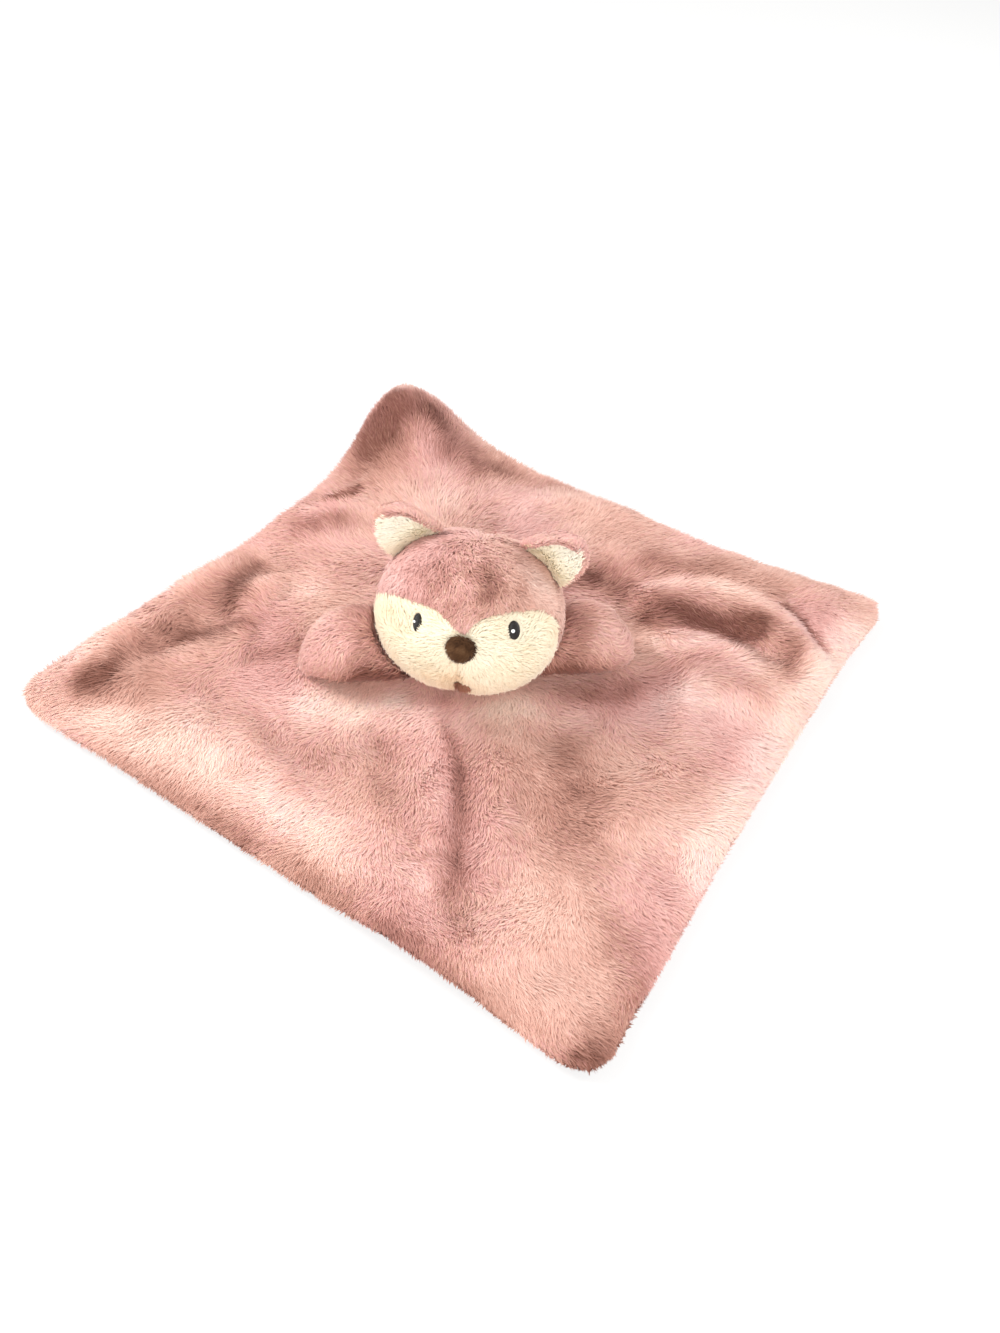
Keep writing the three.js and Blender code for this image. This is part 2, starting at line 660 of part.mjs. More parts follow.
// Nose, eyes and mouth: sewn pads that lie on the face, each a low dome over an oval.
function facePad(name, place, [halfWidth, halfHeight, rise], seat, material) {
  const middle = directionOf(place);
  const across = new THREE.Vector3(0, 0, 1).cross(middle).normalize();
  const up = middle.clone().cross(across);
  const reach = headRadius(middle);
  const directionAt = (u, v) => {
    const [a, b] = squareToDisc(2 * u - 1, 2 * v - 1);
    const direction = middle.clone();
    direction.addScaledVector(across, (a * halfWidth) / reach);
    return direction.addScaledVector(up, (b * halfHeight) / reach);
  };
  const domeAt = (u, v) => {
    const [a, b] = squareToDisc(2 * u - 1, 2 * v - 1);
    const dome = Math.sqrt(Math.max(0, 1 - a * a - b * b));
    return rise * (PAD_RIM_SHARE + (1 - PAD_RIM_SHARE) * dome);
  };
  const outer = (u, v) => headPoint(directionAt(u, v), seat + domeAt(u, v));
  const inner = (u, v) => headPoint(directionAt(u, v), seat);
  addPiece(name, slab(outer, inner, PAD_CELLS, PAD_CELLS), material, head);
}

const padSeat = GAP;
const noseSize = [NOSE_HALF_WIDTH, NOSE_HALF_HEIGHT, NOSE_RISE];
const mouthSize = [MOUTH_HALF_WIDTH, MOUTH_HALF_HEIGHT, MOUTH_RISE];
const eyeSize = [EYE_HALF_WIDTH, EYE_HALF_HEIGHT, EYE_RISE];
const glintSize = [GLINT_HALF_SIZE, GLINT_HALF_SIZE, GLINT_RISE];
facePad("nose", NOSE_PLACE, noseSize, padSeat, brownPlush);
facePad("mouth_stitch", MOUTH_PLACE, mouthSize, padSeat, brownThread);
for (const [side, place] of [
  ["left", EYE_LEFT_PLACE],
  ["right", EYE_RIGHT_PLACE],
]) {
  facePad("eye_" + side, place, eyeSize, padSeat, blackThread);
  const offset = GLINT_OFFSET_SHARE / headRadius(directionOf(place));
  const [left, down] = eyeSize.map((size) => THREE.MathUtils.radToDeg(size * offset));
  const glintPlace = [place[0] - left, place[1] - down];
  facePad("eye_glint_" + side, glintPlace, glintSize, padSeat + EYE_RISE + GAP / 2, whiteThread);
}

// Ears: a rose back that rolls forward over its rim round a cream lining, on one cupped surface
// that leans and curls forward from its root.
const faceDirection = directionOf([0, FACE_LATITUDE_DEGREES]);

function earFrame(place) {
  const radial = directionOf(place);
  const ahead = faceDirection.clone().addScaledVector(radial, -faceDirection.dot(radial)).normalize();
  const along = radial.clone().cross(ahead);
  const out = radial.clone().applyAxisAngle(along, radians(EAR_LEAN_DEGREES));
  const front = ahead.applyAxisAngle(along, radians(EAR_LEAN_DEGREES));
  return { out, front, along, root: headPoint(radial, EAR_SEAT_GAP) };
}

// A point of the ear: p across and q up, each a share of the half disc, and a depth forward. The
// root follows the head, and the rest rises from a straight line.
function earPoint({ out, front, along, root }, p, q, seat, depth) {
  const cup = EAR_CUP_DEPTH * p * p * Math.min(1, 2 * q);
  const thick = smoothstep(0, EAR_THICK_SHARE, q);
  const thickness = EAR_ROOT_THICKNESS_SHARE + (1 - EAR_ROOT_THICKNESS_SHARE) * thick;
  const straight = root.clone().addScaledVector(along, EAR_HALF_WIDTH * p);
  const point = headPoint(straight, EAR_SEAT_GAP).lerp(straight, q);
  point.addScaledVector(out, EAR_HEIGHT * q);
  return point.addScaledVector(front, EAR_CURL * q * q + cup + seat + depth * thickness);
}

const earSurface = (frame, size, seat, depthAt) => (u, v) => {
  const crowded = [Math.sin(Math.PI * (u - 1 / 2)), Math.sin((Math.PI / 2) * v)];
  const [p, q] = squareToDisc(...crowded).map((share) => share * size);
  return earPoint(frame, p, q, seat, depthAt(Math.hypot(p, q)));
};
const earBackDepth = (radius) => {
  return -EAR_BACK_THICKNESS * (1 - EAR_RIM_THINNING_SHARE * radius ** 4);
};
const earRollDepth = (radius) => {
  const rise = smoothstep(EAR_ROLL_START_SHARE, EAR_ROLL_TOP_SHARE, radius);
  const past = Math.max(0, radius - EAR_ROLL_TOP_SHARE) / (1 - EAR_ROLL_TOP_SHARE);
  return EAR_ROLL * rise * Math.sqrt(Math.max(0, 1 - past * past));
};
const liningDepth = (radius) => {
  return EAR_LINING_THICKNESS * (1 - (radius / EAR_LINING_SIZE_SHARE) ** 4 / 2);
};

for (const [side, place] of [
  ["left", EAR_LEFT_PLACE],
  ["right", EAR_RIGHT_PLACE],
]) {
  const frame = earFrame(place);
  const backRear = earSurface(frame, 1, -GAP / 2, earBackDepth);
  const backFront = earSurface(frame, 1, -GAP / 2, earRollDepth);
  addPiece("ear_back_" + side, slab(backRear, backFront, EAR_COLUMNS, EAR_ROWS), rosePlush, head);
  const liningSeat = GAP;
  const liningFront = earSurface(frame, EAR_LINING_SIZE_SHARE, liningSeat, liningDepth);
  const liningRear = earSurface(frame, EAR_LINING_SIZE_SHARE, liningSeat, () => 0);
  const lining = slab(liningFront, liningRear, EAR_COLUMNS, EAR_ROWS);
  addPiece("ear_lining_" + side, lining, creamPlush, head);
}

// Neck: a gathered sleeve with a ball of stuffing at its top, tied at its foot.
const neck = new THREE.Group();
neck.position.set(HEAD_CENTRE.x, HEAD_CENTRE.y, BLANKET_THICKNESS + GAP);
lovey.add(neck);

function ballArc(radius, from, to, steps) {
  return Array.from({ length: steps + 1 }, (_, i) => {
    const angle = radians(from + ((to - from) * i) / steps);
    return [radius * Math.cos(angle), neckLength + radius * Math.sin(angle)];
  });
}

const waist = NECK_RADIUS - NECK_WAIST_DEPTH;
const threadRadius = NECK_THREAD_DIAMETER / 2;
const sleeveOutside = [
  [NECK_RADIUS, 0],
  [NECK_RADIUS, NECK_THREAD_HEIGHT - 2 * NECK_THREAD_DIAMETER],
  [waist, NECK_THREAD_HEIGHT - threadRadius],
  [waist, NECK_THREAD_HEIGHT + threadRadius],
  [NECK_RADIUS * NECK_SHOULDER_SHARE, NECK_THREAD_HEIGHT + 2 * NECK_THREAD_DIAMETER],
  ...ballArc(NECK_BALL_RADIUS, -NECK_BALL_OPEN_DEGREES, NECK_BALL_OPEN_DEGREES, NECK_BALL_STEPS),
];
const shrunk = (profile, wall) => profile.map(([radius, height]) => {
  const above = height - neckLength;
  const distance = Math.hypot(radius, above);
  const onBall = distance < NECK_BALL_RADIUS + GAP && above > -NECK_BALL_RADIUS;
  if (!onBall) return [radius - wall, height];
  const inwards = (distance - wall) / distance;
  return [radius * inwards, neckLength + above * inwards];
});
const sleeveInside = shrunk(sleeveOutside, NECK_WALL);
const sleeve = [...sleeveOutside, ...sleeveInside.toReversed(), sleeveOutside[0]];
addPiece("neck_sleeve", turned(sleeve), rosePlush, neck);

const fillingSide = shrunk(sleeveOutside, NECK_WALL + GAP);
const filling = [[0, 0], ...fillingSide, [0, fillingSide.at(-1)[1]]];
addPiece("neck_stuffing", turned(filling), stuffing, neck);

const threadRing = waist + GAP + threadRadius;
const neckThread = new THREE.TorusGeometry(threadRing, threadRadius, THREAD_SIDES, ROUND_SEGMENTS);
neckThread.translate(0, 0, NECK_THREAD_HEIGHT);
addPiece("neck_gather_thread", neckThread, roseThread, neck);

// Arms: stuffed stubs that lie on the blanket, gathered to a narrow root at the neck and hollowed
// where the head rests over them.
const armFloor = BLANKET_THICKNESS + GAP;
const armRootReach = NECK_RADIUS + GAP;

// The share of its full section that an arm has at a distance from the neck's axis.
function armShare(distance, reach) {
  const shoulder = reach - ARM_TIP_LENGTH;
  if (distance <= shoulder) {
    const along = Math.max(0, (distance - armRootReach) / (shoulder - armRootReach));
    return ARM_ROOT_SHARE + (1 - ARM_ROOT_SHARE) * Math.sin((Math.PI / 2) * along);
  }
  const share = Math.min(1, (distance - shoulder) / ARM_TIP_LENGTH);
  return Math.sqrt(1 - share * share);
}

// The arm's form drawn in by a wall: an oval section carried along +X, its lowest line level.
function armForm(reach, wall, start) {
  const shoulder = reach - ARM_TIP_LENGTH;
  const profile = [[0, start]];
  for (let i = 0; i <= ARM_RINGS; i++) {
    const distance = start + ((shoulder - start) * i) / ARM_RINGS;
    profile.push([ARM_HALF_HEIGHT * armShare(distance, reach) - wall, distance]);
  }
  for (let i = 1; i <= ARM_TIP_RINGS; i++) {
    const angle = (Math.PI / 2) * (i / ARM_TIP_RINGS);
    const radius = i === ARM_TIP_RINGS ? 0 : (ARM_HALF_HEIGHT - wall) * Math.cos(angle);
    profile.push([radius, shoulder + (ARM_TIP_LENGTH - wall) * Math.sin(angle)]);
  }
  const form = turned(profile, ARM_SIDES).rotateY(Math.PI / 2);
  form.scale(1, (ARM_HALF_WIDTH - wall) / (ARM_HALF_HEIGHT - wall), 1);
  const positions = form.attributes.position;
  for (let i = 0; i < positions.count; i++) {
    const halfHeight = ARM_HALF_HEIGHT * armShare(positions.getX(i), reach);
    positions.setZ(i, positions.getZ(i) + armFloor - FLAT_CUT_DEPTH + halfHeight);
  }
  return toSolid(form);
}

// What lies under the arms, and the space that the head sweeps as it turns.
const floorSize = 2 * ARM_REACH_RIGHT + OVERRUN;
const floorForm = new THREE.BoxGeometry(floorSize, floorSize, BLANKET_THICKNESS + OVERRUN);
floorForm.translate(0, 0, armFloor - (BLANKET_THICKNESS + OVERRUN) / 2);
const floorSolid = toSolid(floorForm);
const headSweep = new THREE.SphereGeometry(1, ROUND_SEGMENTS, ROUND_SEGMENTS / 2).rotateX(Math.PI / 2);
const sweepRadius = HEAD_HALF_WIDTH + ARM_HEAD_CLEARANCE;
headSweep.scale(sweepRadius, sweepRadius, HEAD_HALF_HEIGHT + ARM_HEAD_CLEARANCE / 2);
headSweep.translate(0, 0, HEAD_CENTRE.z);
const sweepSolid = toSolid(headSweep);

for (const arm of [
  { name: "left", reach: ARM_REACH_LEFT, degrees: ARM_LEFT_DEGREES },
  { name: "right", reach: ARM_REACH_RIGHT, degrees: ARM_RIGHT_DEGREES },
]) {
  const shoulder = new THREE.Group();
  shoulder.position.set(HEAD_CENTRE.x, HEAD_CENTRE.y, 0);
  shoulder.rotation.z = radians(arm.degrees);
  lovey.add(shoulder);
  const outside = armForm(arm.reach, 0, armRootReach);
  const hollow = armForm(arm.reach, ARM_COVER_THICKNESS, armRootReach - OVERRUN);
  const cover = outside.subtract(hollow).subtract(floorSolid).subtract(sweepSolid);
  addPiece("arm_cover_" + arm.name, toGeometry(cover), rosePlush, shoulder);
  const fillWall = ARM_COVER_THICKNESS + GAP + FACET_SAG;
  const fill = armForm(arm.reach, fillWall, armRootReach + GAP).subtract(sweepSolid);
  addPiece("arm_stuffing_" + arm.name, toGeometry(fill), stuffing, shoulder);
}

export default lovey;
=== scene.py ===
import math

import bpy
import numpy as np
from mathutils import Matrix


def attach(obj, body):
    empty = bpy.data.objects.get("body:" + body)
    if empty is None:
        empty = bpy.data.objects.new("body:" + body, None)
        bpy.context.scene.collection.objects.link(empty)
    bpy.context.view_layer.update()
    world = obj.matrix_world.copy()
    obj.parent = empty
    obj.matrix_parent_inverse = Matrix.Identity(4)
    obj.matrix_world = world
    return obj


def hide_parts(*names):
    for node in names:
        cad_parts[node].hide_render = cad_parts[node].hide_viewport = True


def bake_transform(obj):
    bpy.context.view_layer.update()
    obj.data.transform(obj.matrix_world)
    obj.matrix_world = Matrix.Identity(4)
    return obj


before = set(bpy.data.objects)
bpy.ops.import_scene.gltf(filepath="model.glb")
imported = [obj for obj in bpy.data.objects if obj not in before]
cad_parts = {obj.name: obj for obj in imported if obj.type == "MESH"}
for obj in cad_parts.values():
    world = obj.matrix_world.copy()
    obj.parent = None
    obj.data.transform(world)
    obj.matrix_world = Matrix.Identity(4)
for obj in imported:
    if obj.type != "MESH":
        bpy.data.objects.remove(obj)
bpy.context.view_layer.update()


# Blanket cloth. Two squares of dusty rose pile fabric, each a knitted backing with a brushed face,
# sewn together along all four edges and turned right side out, so the edge is a soft round roll.
# It lies loose, with folds, a few pressed creases, and the back corner standing up as a tent.
reach_x = 0.2245
reach_y = 0.2155
side_corner_y = 0.012
front_corner_x = -0.007
back_corner_x = -0.015
corner_radius = 0.019
cloth_thickness = 0.012
edge_thickness = 0.0003
edge_roll = 0.015
fold_height = 0.014
fold_top = 0.0135
crease_depth = 0.0045
tent_height = 0.030
tent_half_width = 0.033
back_left_bow = 0.015
back_right_bow = 0.013
front_left_wave = 0.005
front_right_bow = 0.003
pile_depth = 0.0017
backing_thickness = 0.001
layer_gap = 0.0012
rim_backing = 0.0002
flat_cut = 0.0005
head_centre = np.array((-0.016, -0.004, 0.052))
arm_sweep = 0.098
head_half_width = 0.0448
rest_gap = 0.0003
blanket_cells = 280
clump_size = 0.0075
top_relief = 0.0007
back_relief = 0.0005
ripples = ((0.0016, 0.05, 3), (0.0008, 0.021, 4))
tone_reach = 0.003
corner_pulls = ((-1, 0.0048, 0.78), (1, 0.0034, 0.84))

# Folds as three points along each, the half width and the height, in thousandths of reach_x and fold_height
fold_strokes = np.array([
    (350, 95, 620, 60, 725, -165, 50, 1050),
    (400, -15, 540, -60, 680, -205, 35, 350),
    (360, -200, 460, -155, 620, -220, 60, 500),
    (300, 270, 600, 180, 850, 30, 75, 550),
    (60, 480, 260, 455, 460, 370, 70, 500),
    (-900, 85, -750, 215, -580, 345, 50, 500),
    (-820, 20, -640, 75, -500, 140, 50, 350),
    (-560, 225, -460, 260, -340, 250, 50, 400),
    (-440, 460, -320, 545, -180, 600, 45, 450),
    (-360, -620, -200, -720, -60, -680, 80, 350),
    (140, -500, 240, -420, 400, -460, 80, 400),
    (-60, -260, -75, -400, -130, -560, 55, 350),
    (-195, -260, -205, -380, -250, -500, 45, 300),
    (-720, -120, -600, -160, -440, -280, 70, 300),
]) / 1000
# Creases in the same way, with crease_depth for the depth
crease_strokes = np.array([
    (-115, -160, -125, -360, -205, -640, 30, 750),
    (-278, -140, -284, -250, -290, -360, 30, 600),
    (745, 60, 783, -15, 803, -100, 25, 600),
    (-345, 575, -290, 580, -200, 635, 20, 900),
    (-285, -493, -225, -490, -165, -500, 20, 250),
]) / 1000


def smoothstep(low, high, value):
    """Rises from 0 at low to 1 at high as 3x squared less 2x cubed."""
    share = np.clip((value - low) / (high - low), 0, 1)
    return share * share * (3 - 2 * share)


def soft_noise(points, cell, seed):
    """A smooth random field from -1 to 1. Each corner of a cubic lattice of this cell looks up a value
    by mixing its whole-number place, and a point takes its eight corners by smoothstep weights."""
    values = np.random.default_rng(seed).uniform(-1, 1, 4096)
    place = points / cell
    corner = np.floor(place).astype(np.int64)
    share = smoothstep(0, 1, place - corner)
    total = np.zeros(points.shape[:-1])
    for offset in np.ndindex(2, 2, 2):
        mixed = (corner + offset) * (73856093, 19349663, 83492791)
        index = (mixed[..., 0] ^ mixed[..., 1] ^ mixed[..., 2]) % len(values)
        weight = np.where(np.array(offset) == 1, share, 1 - share).prod(axis=-1)
        total += weight * values[index]
    return total


def unit(vectors):
    """Vectors made one long."""
    return vectors / np.maximum(np.linalg.norm(vectors, axis=-1, keepdims=True), 1e-12)


def raised(place, height):
    """Places on the table with their heights, as points."""
    return np.concatenate([place, height[..., None]], axis=-1)


def waves(points, *layers):
    """The sum of soft noises, each given by its height, its cell and its seed."""
    return sum(height * soft_noise(points, cell, seed) for height, cell, seed in layers)


def blanket_plan(s, t, shift=(0, 0)):
    """Where the shares s and t of the sewn square, each from -1 to 1, lie on the table: a mix of the four
    corners, with the corners rounded by p times the root of 1 less half q squared, and the sides bowed."""
    round_share = 2 * corner_radius / math.hypot(reach_x, reach_y)
    edge = 1 - round_share
    over = [np.maximum(np.abs(x) - edge, 0) / round_share for x in (s, t)]
    drawn = [a * np.sqrt(1 - b * b / 2) for a, b in (over, over[::-1])]
    p, q = (np.sign(x) * (np.minimum(np.abs(x), edge) + d * round_share) for x, d in zip((s, t), drawn))
    grow = 1 / (1 - round_share * (1 - math.sqrt(1 / 2)))
    left = np.array((-reach_x * grow, side_corner_y))
    front = np.array((front_corner_x, -reach_y * grow))
    right = np.array((reach_x * grow, side_corner_y))
    back = np.array((back_corner_x, reach_y * grow))
    p, q = p[..., None], q[..., None]
    place = left * (1 - p) * (1 - q) + front * (1 + p) * (1 - q)
    place = (place + right * (1 + p) * (1 + q) + back * (1 - p) * (1 + q)) / 4

    def inwards(start, end):
        along = (end - start) / np.linalg.norm(end - start)
        return np.array((along[1], -along[0]))

    place = place + inwards(back, right) * back_right_bow * (1 - p * p) * ((1 + q) / 2) ** 2
    place = place + inwards(left, back) * back_left_bow * (1 - q * q) * ((1 - p) / 2) ** 2 * (1 + q / 2)
    place = place + inwards(right, front) * front_right_bow * (1 - q * q) * (1 + p) / 2
    place = place + inwards(front, left) * front_left_wave * (1 - p * p) * p * (1 - q) / 2
    return place - shift


def stroke_height(place, stroke):
    """A soft brush of a Gaussian section drawn along the parabola through three points: the mean of its
    dabs, set closer than their radius and scaled so that the ridge is 1 high."""
    a, b, c = stroke[:6].reshape(3, 2) * reach_x
    bend = 2 * b - (a + c) / 2
    radius = stroke[6] * reach_x
    length = np.linalg.norm(a - b) + np.linalg.norm(b - c)
    steps = math.ceil(1.4 * length / radius)
    total = np.zeros(place.shape[:-1])
    for share in np.linspace(0, 1, steps + 1):
        centre = a * (1 - share) ** 2 + bend * 2 * share * (1 - share) + c * share**2
        total += np.exp(-((np.linalg.norm(place - centre, axis=-1) / radius) ** 2))
    return total * length / steps / (radius * math.sqrt(math.pi))


def fold_freedom(place):
    """0 where the head and the swinging arms keep the cloth flat, 1 beyond them."""
    x, y = np.moveaxis(place - head_centre[:2], -1, 0)
    distance = np.hypot(x, y)
    sideways = 1 - smoothstep(0.72, 1, np.abs(y) / np.maximum(distance, flat_cut))
    flat = head_half_width + (arm_sweep - head_half_width) * sideways
    return smoothstep(flat, flat + edge_roll * (2 - sideways), distance)


def blanket_lift(place):
    """How high the folds carry the cloth: all fold strokes, their tops rounded by a hyperbolic tangent, and
    at the back corner a ridge that rises towards the corner and droops a little at its tip."""
    lift = sum(fold_height * fold[7] * stroke_height(place, fold) for fold in fold_strokes)
    lift = fold_top * np.tanh(1.2 * lift / fold_top)
    along = place[..., 1] / reach_y
    tent = tent_height * np.exp(-(((place[..., 0] - back_corner_x) / tent_half_width) ** 2))
    tent *= smoothstep(0.53, 0.86, along) * (1 - 0.45 * smoothstep(0.84, 1, along))
    return (lift + tent) * fold_freedom(place)


def grid_normals(points):
    """Unit normals of a grid: the cross product of its steps across and along."""
    return unit(np.cross(np.gradient(points, axis=1), np.gradient(points, axis=0)))


def turned_to(way, *grids):
    """Grids of the same cells, all mirrored if the normals of the first one point against a way."""
    if (grid_normals(grids[0]) * way).sum() < 0:
        return [grid[:, ::-1] for grid in grids]
    return grids


def along_surface(nap, normals):
    """The nap laid along the surface and made one long."""
    return unit(nap - normals * (nap * normals).sum(-1, keepdims=True))


# Even steps, drawn towards the edges by two fifths of a half sine wave
even_lines = np.linspace(-1, 1, blanket_cells + 1)
blanket_lines = even_lines + (np.sin(even_lines * np.pi / 2) - even_lines) * 0.4
blanket_shares = np.meshgrid(blanket_lines, blanket_lines)
blanket_outline = blanket_plan(*blanket_shares).reshape(-1, 2)
blanket_shift = (blanket_outline.max(0) + blanket_outline.min(0)) / 2


def drawn_plan(s, t):
    """The plan set in the middle, its left and right corners drawn out further by a smooth step."""
    place = blanket_plan(s, t, blanket_shift)
    for way, pull, start in corner_pulls:
        place[..., 0] += way * pull * smoothstep(start, 1, way * place[..., 0] / reach_x)
    return place


def blanket_faces(s, t):
    """The two outer faces of the blanket and its middle as grids of points: the folded middle height, plus or
    minus a layer that is full inside and runs out in a quarter circle at the sewn edge. The lower face stops
    at the table."""
    place = drawn_plan(s, t)
    half_side = math.hypot(reach_x, reach_y) / 2
    inset = np.minimum((1 - np.maximum(np.abs(s), np.abs(t))) * half_side / edge_roll, 1)
    layer = edge_thickness + (cloth_thickness / 2 - edge_thickness) * np.sqrt(1 - (1 - inset) ** 2)
    crease = sum(crease_depth * crease[7] * stroke_height(place, crease) for crease in crease_strokes)
    middle = cloth_thickness / 2 + blanket_lift(place)
    ripple = waves(raised(place, middle), *ripples)
    middle = middle + ripple * inset * fold_freedom(place)
    top = middle + layer - np.minimum(crease, layer - edge_thickness)
    back = np.maximum(middle - layer - flat_cut, 0)
    return [raised(place, height) for height in (top, back, middle)]


def clump_relief(points, normals, nap, height):
    """Points pushed out along their normals by a noise whose cells are drawn out along the nap, as the
    brushed pile gathers in locks."""
    spine = along_surface(nap, normals)
    turned = points - spine * (points * spine).sum(-1, keepdims=True) * 0.45
    rise = waves(turned, (1, clump_size, 11), (0.5, clump_size / 2.1, 12))
    return points + normals * (height * rise)[..., None]


def add_object(name, points, faces, corner_map, tones=None, facing=None):
    """A smooth object of triangles from arrays: corner_map holds each corner's place on the piece's own map,
    tones a value for each point, and facing a normal for each corner."""
    mesh = bpy.data.meshes.new(name)
    mesh.vertices.add(len(points))
    mesh.loops.add(faces.size)
    mesh.polygons.add(len(faces))
    mesh.vertices.foreach_set("co", points.astype(np.float32).ravel())
    mesh.loops.foreach_set("vertex_index", faces.astype(np.int32).ravel())
    mesh.polygons.foreach_set("loop_start", np.arange(0, faces.size, 3, dtype=np.int32))
    mesh.polygons.foreach_set("use_smooth", np.ones(len(faces), bool))
    own_map = mesh.uv_layers.new(name="OFBake")
    own_map.uv.foreach_set("vector", corner_map.astype(np.float32).ravel())
    if tones is not None:
        tone = mesh.attributes.new("tone", "FLOAT", "POINT")
        tone.data.foreach_set("value", tones.astype(np.float32))
    mesh.update(calc_edges=True)
    if facing is not None:
        mesh.normals_split_custom_set(facing.reshape(-1, 3))
    piece = bpy.data.objects.new(name, mesh)
    bpy.context.collection.objects.link(piece)
    return piece


def make_mesh(name, points, faces, corner_map, tones=None):
    """An object in which points that share a place become one, and faces that then have no area go."""
    _, first, merged = np.unique(np.round(points / 1e-7), axis=0, return_index=True, return_inverse=True)
    faces = merged.ravel()[faces]
    kept = (faces != np.roll(faces, 1, axis=1)).all(axis=1)
    tones = None if tones is None else tones.ravel()[first]
    return add_object(name, points[first], faces[kept], corner_map[kept], tones)


def map_places(rows, columns, low=0.01, high=0.99):
    """Where the points of a grid lie on the piece's own map: all across it, and from low to high along it."""
    across, along = np.meshgrid(np.linspace(0.01, 0.99, columns + 1), np.linspace(low, high, rows + 1))
    return np.stack([across.ravel(), along.ravel()], 1)


def quads(rows, columns, start=0):
    """The two triangles of every cell of a grid whose points are numbered row by row from start."""
    a = start + np.arange(rows)[:, None] * (columns + 1) + np.arange(columns)
    a = a.ravel()
    b, c, d = a + 1, a + columns + 2, a + columns + 1
    return np.concatenate([np.stack([a, b, c], 1), np.stack([a, c, d], 1)])


def make_closed(name, points, tones=None):
    """An object from one grid whose sides meet."""
    rows, columns = points.shape[0] - 1, points.shape[1] - 1
    faces = quads(rows, columns)
    return make_mesh(name, points.reshape(-1, 3), faces, map_places(rows, columns)[faces], tones)


def make_shell(name, outer, inner, shade, rims="front right back left", share=0.9):
    """A closed layer of cloth: the grid of its outer face, a coarser grid for its inner face, and along each
    named rim a strip of triangles that fans from every inner point to the outer points nearest to it."""
    rows, columns = outer.shape[0] - 1, outer.shape[1] - 1
    inner_rows, inner_columns = inner.shape[0] - 1, inner.shape[1] - 1
    ratio = columns // inner_columns
    half = ratio // 2
    outer_map = map_places(rows, columns, high=share)
    inner_map = map_places(inner_rows, inner_columns, low=share + 0.03)
    places = np.concatenate([outer_map, inner_map])
    count = len(outer_map)
    outer_index = np.arange(count).reshape(rows + 1, columns + 1)
    inner_index = count + np.arange(len(inner_map)).reshape(inner_rows + 1, inner_columns + 1)
    faces = [quads(rows, columns), quads(inner_rows, inner_columns, count)[:, ::-1]]
    maps = [places[x] for x in faces]
    sides = {"front": np.s_[0], "right": np.s_[:, -1], "back": np.s_[-1, ::-1], "left": np.s_[::-1, 0]}
    for rim in rims.split():
        fine, coarse = outer_index[sides[rim]], inner_index[sides[rim]]
        step = np.arange(len(fine) - 1)
        faces.append(np.stack([fine[step + 1], fine[step], coarse[(step + half) // ratio]], 1))
        maps.append(places[np.stack([fine[step + 1], fine[step], fine[step]], 1)])
        step = np.arange(len(coarse) - 1)
        met = fine[step * ratio + ratio - half]
        faces.append(np.stack([coarse[step], coarse[step + 1], met], 1))
        maps.append(places[np.stack([met, met, met], 1)])
    points = np.concatenate([outer.reshape(-1, 3), inner.reshape(-1, 3)])
    tones = np.concatenate([shade.ravel(), np.full(len(inner_map), 0.5)])
    return make_mesh(name, points, np.concatenate(faces), np.concatenate(maps), tones)


def cloth_tone(points, base=0.56):
    """The tone of the pile at a place, from 0 to 1: broad soft patches and smaller ones inside them."""
    tone = base + waves(points, (0.1, 0.05, 21), (0.1, 0.017, 22), (0.05, 0.006, 23))
    return np.clip(tone, 0.02, 0.98)


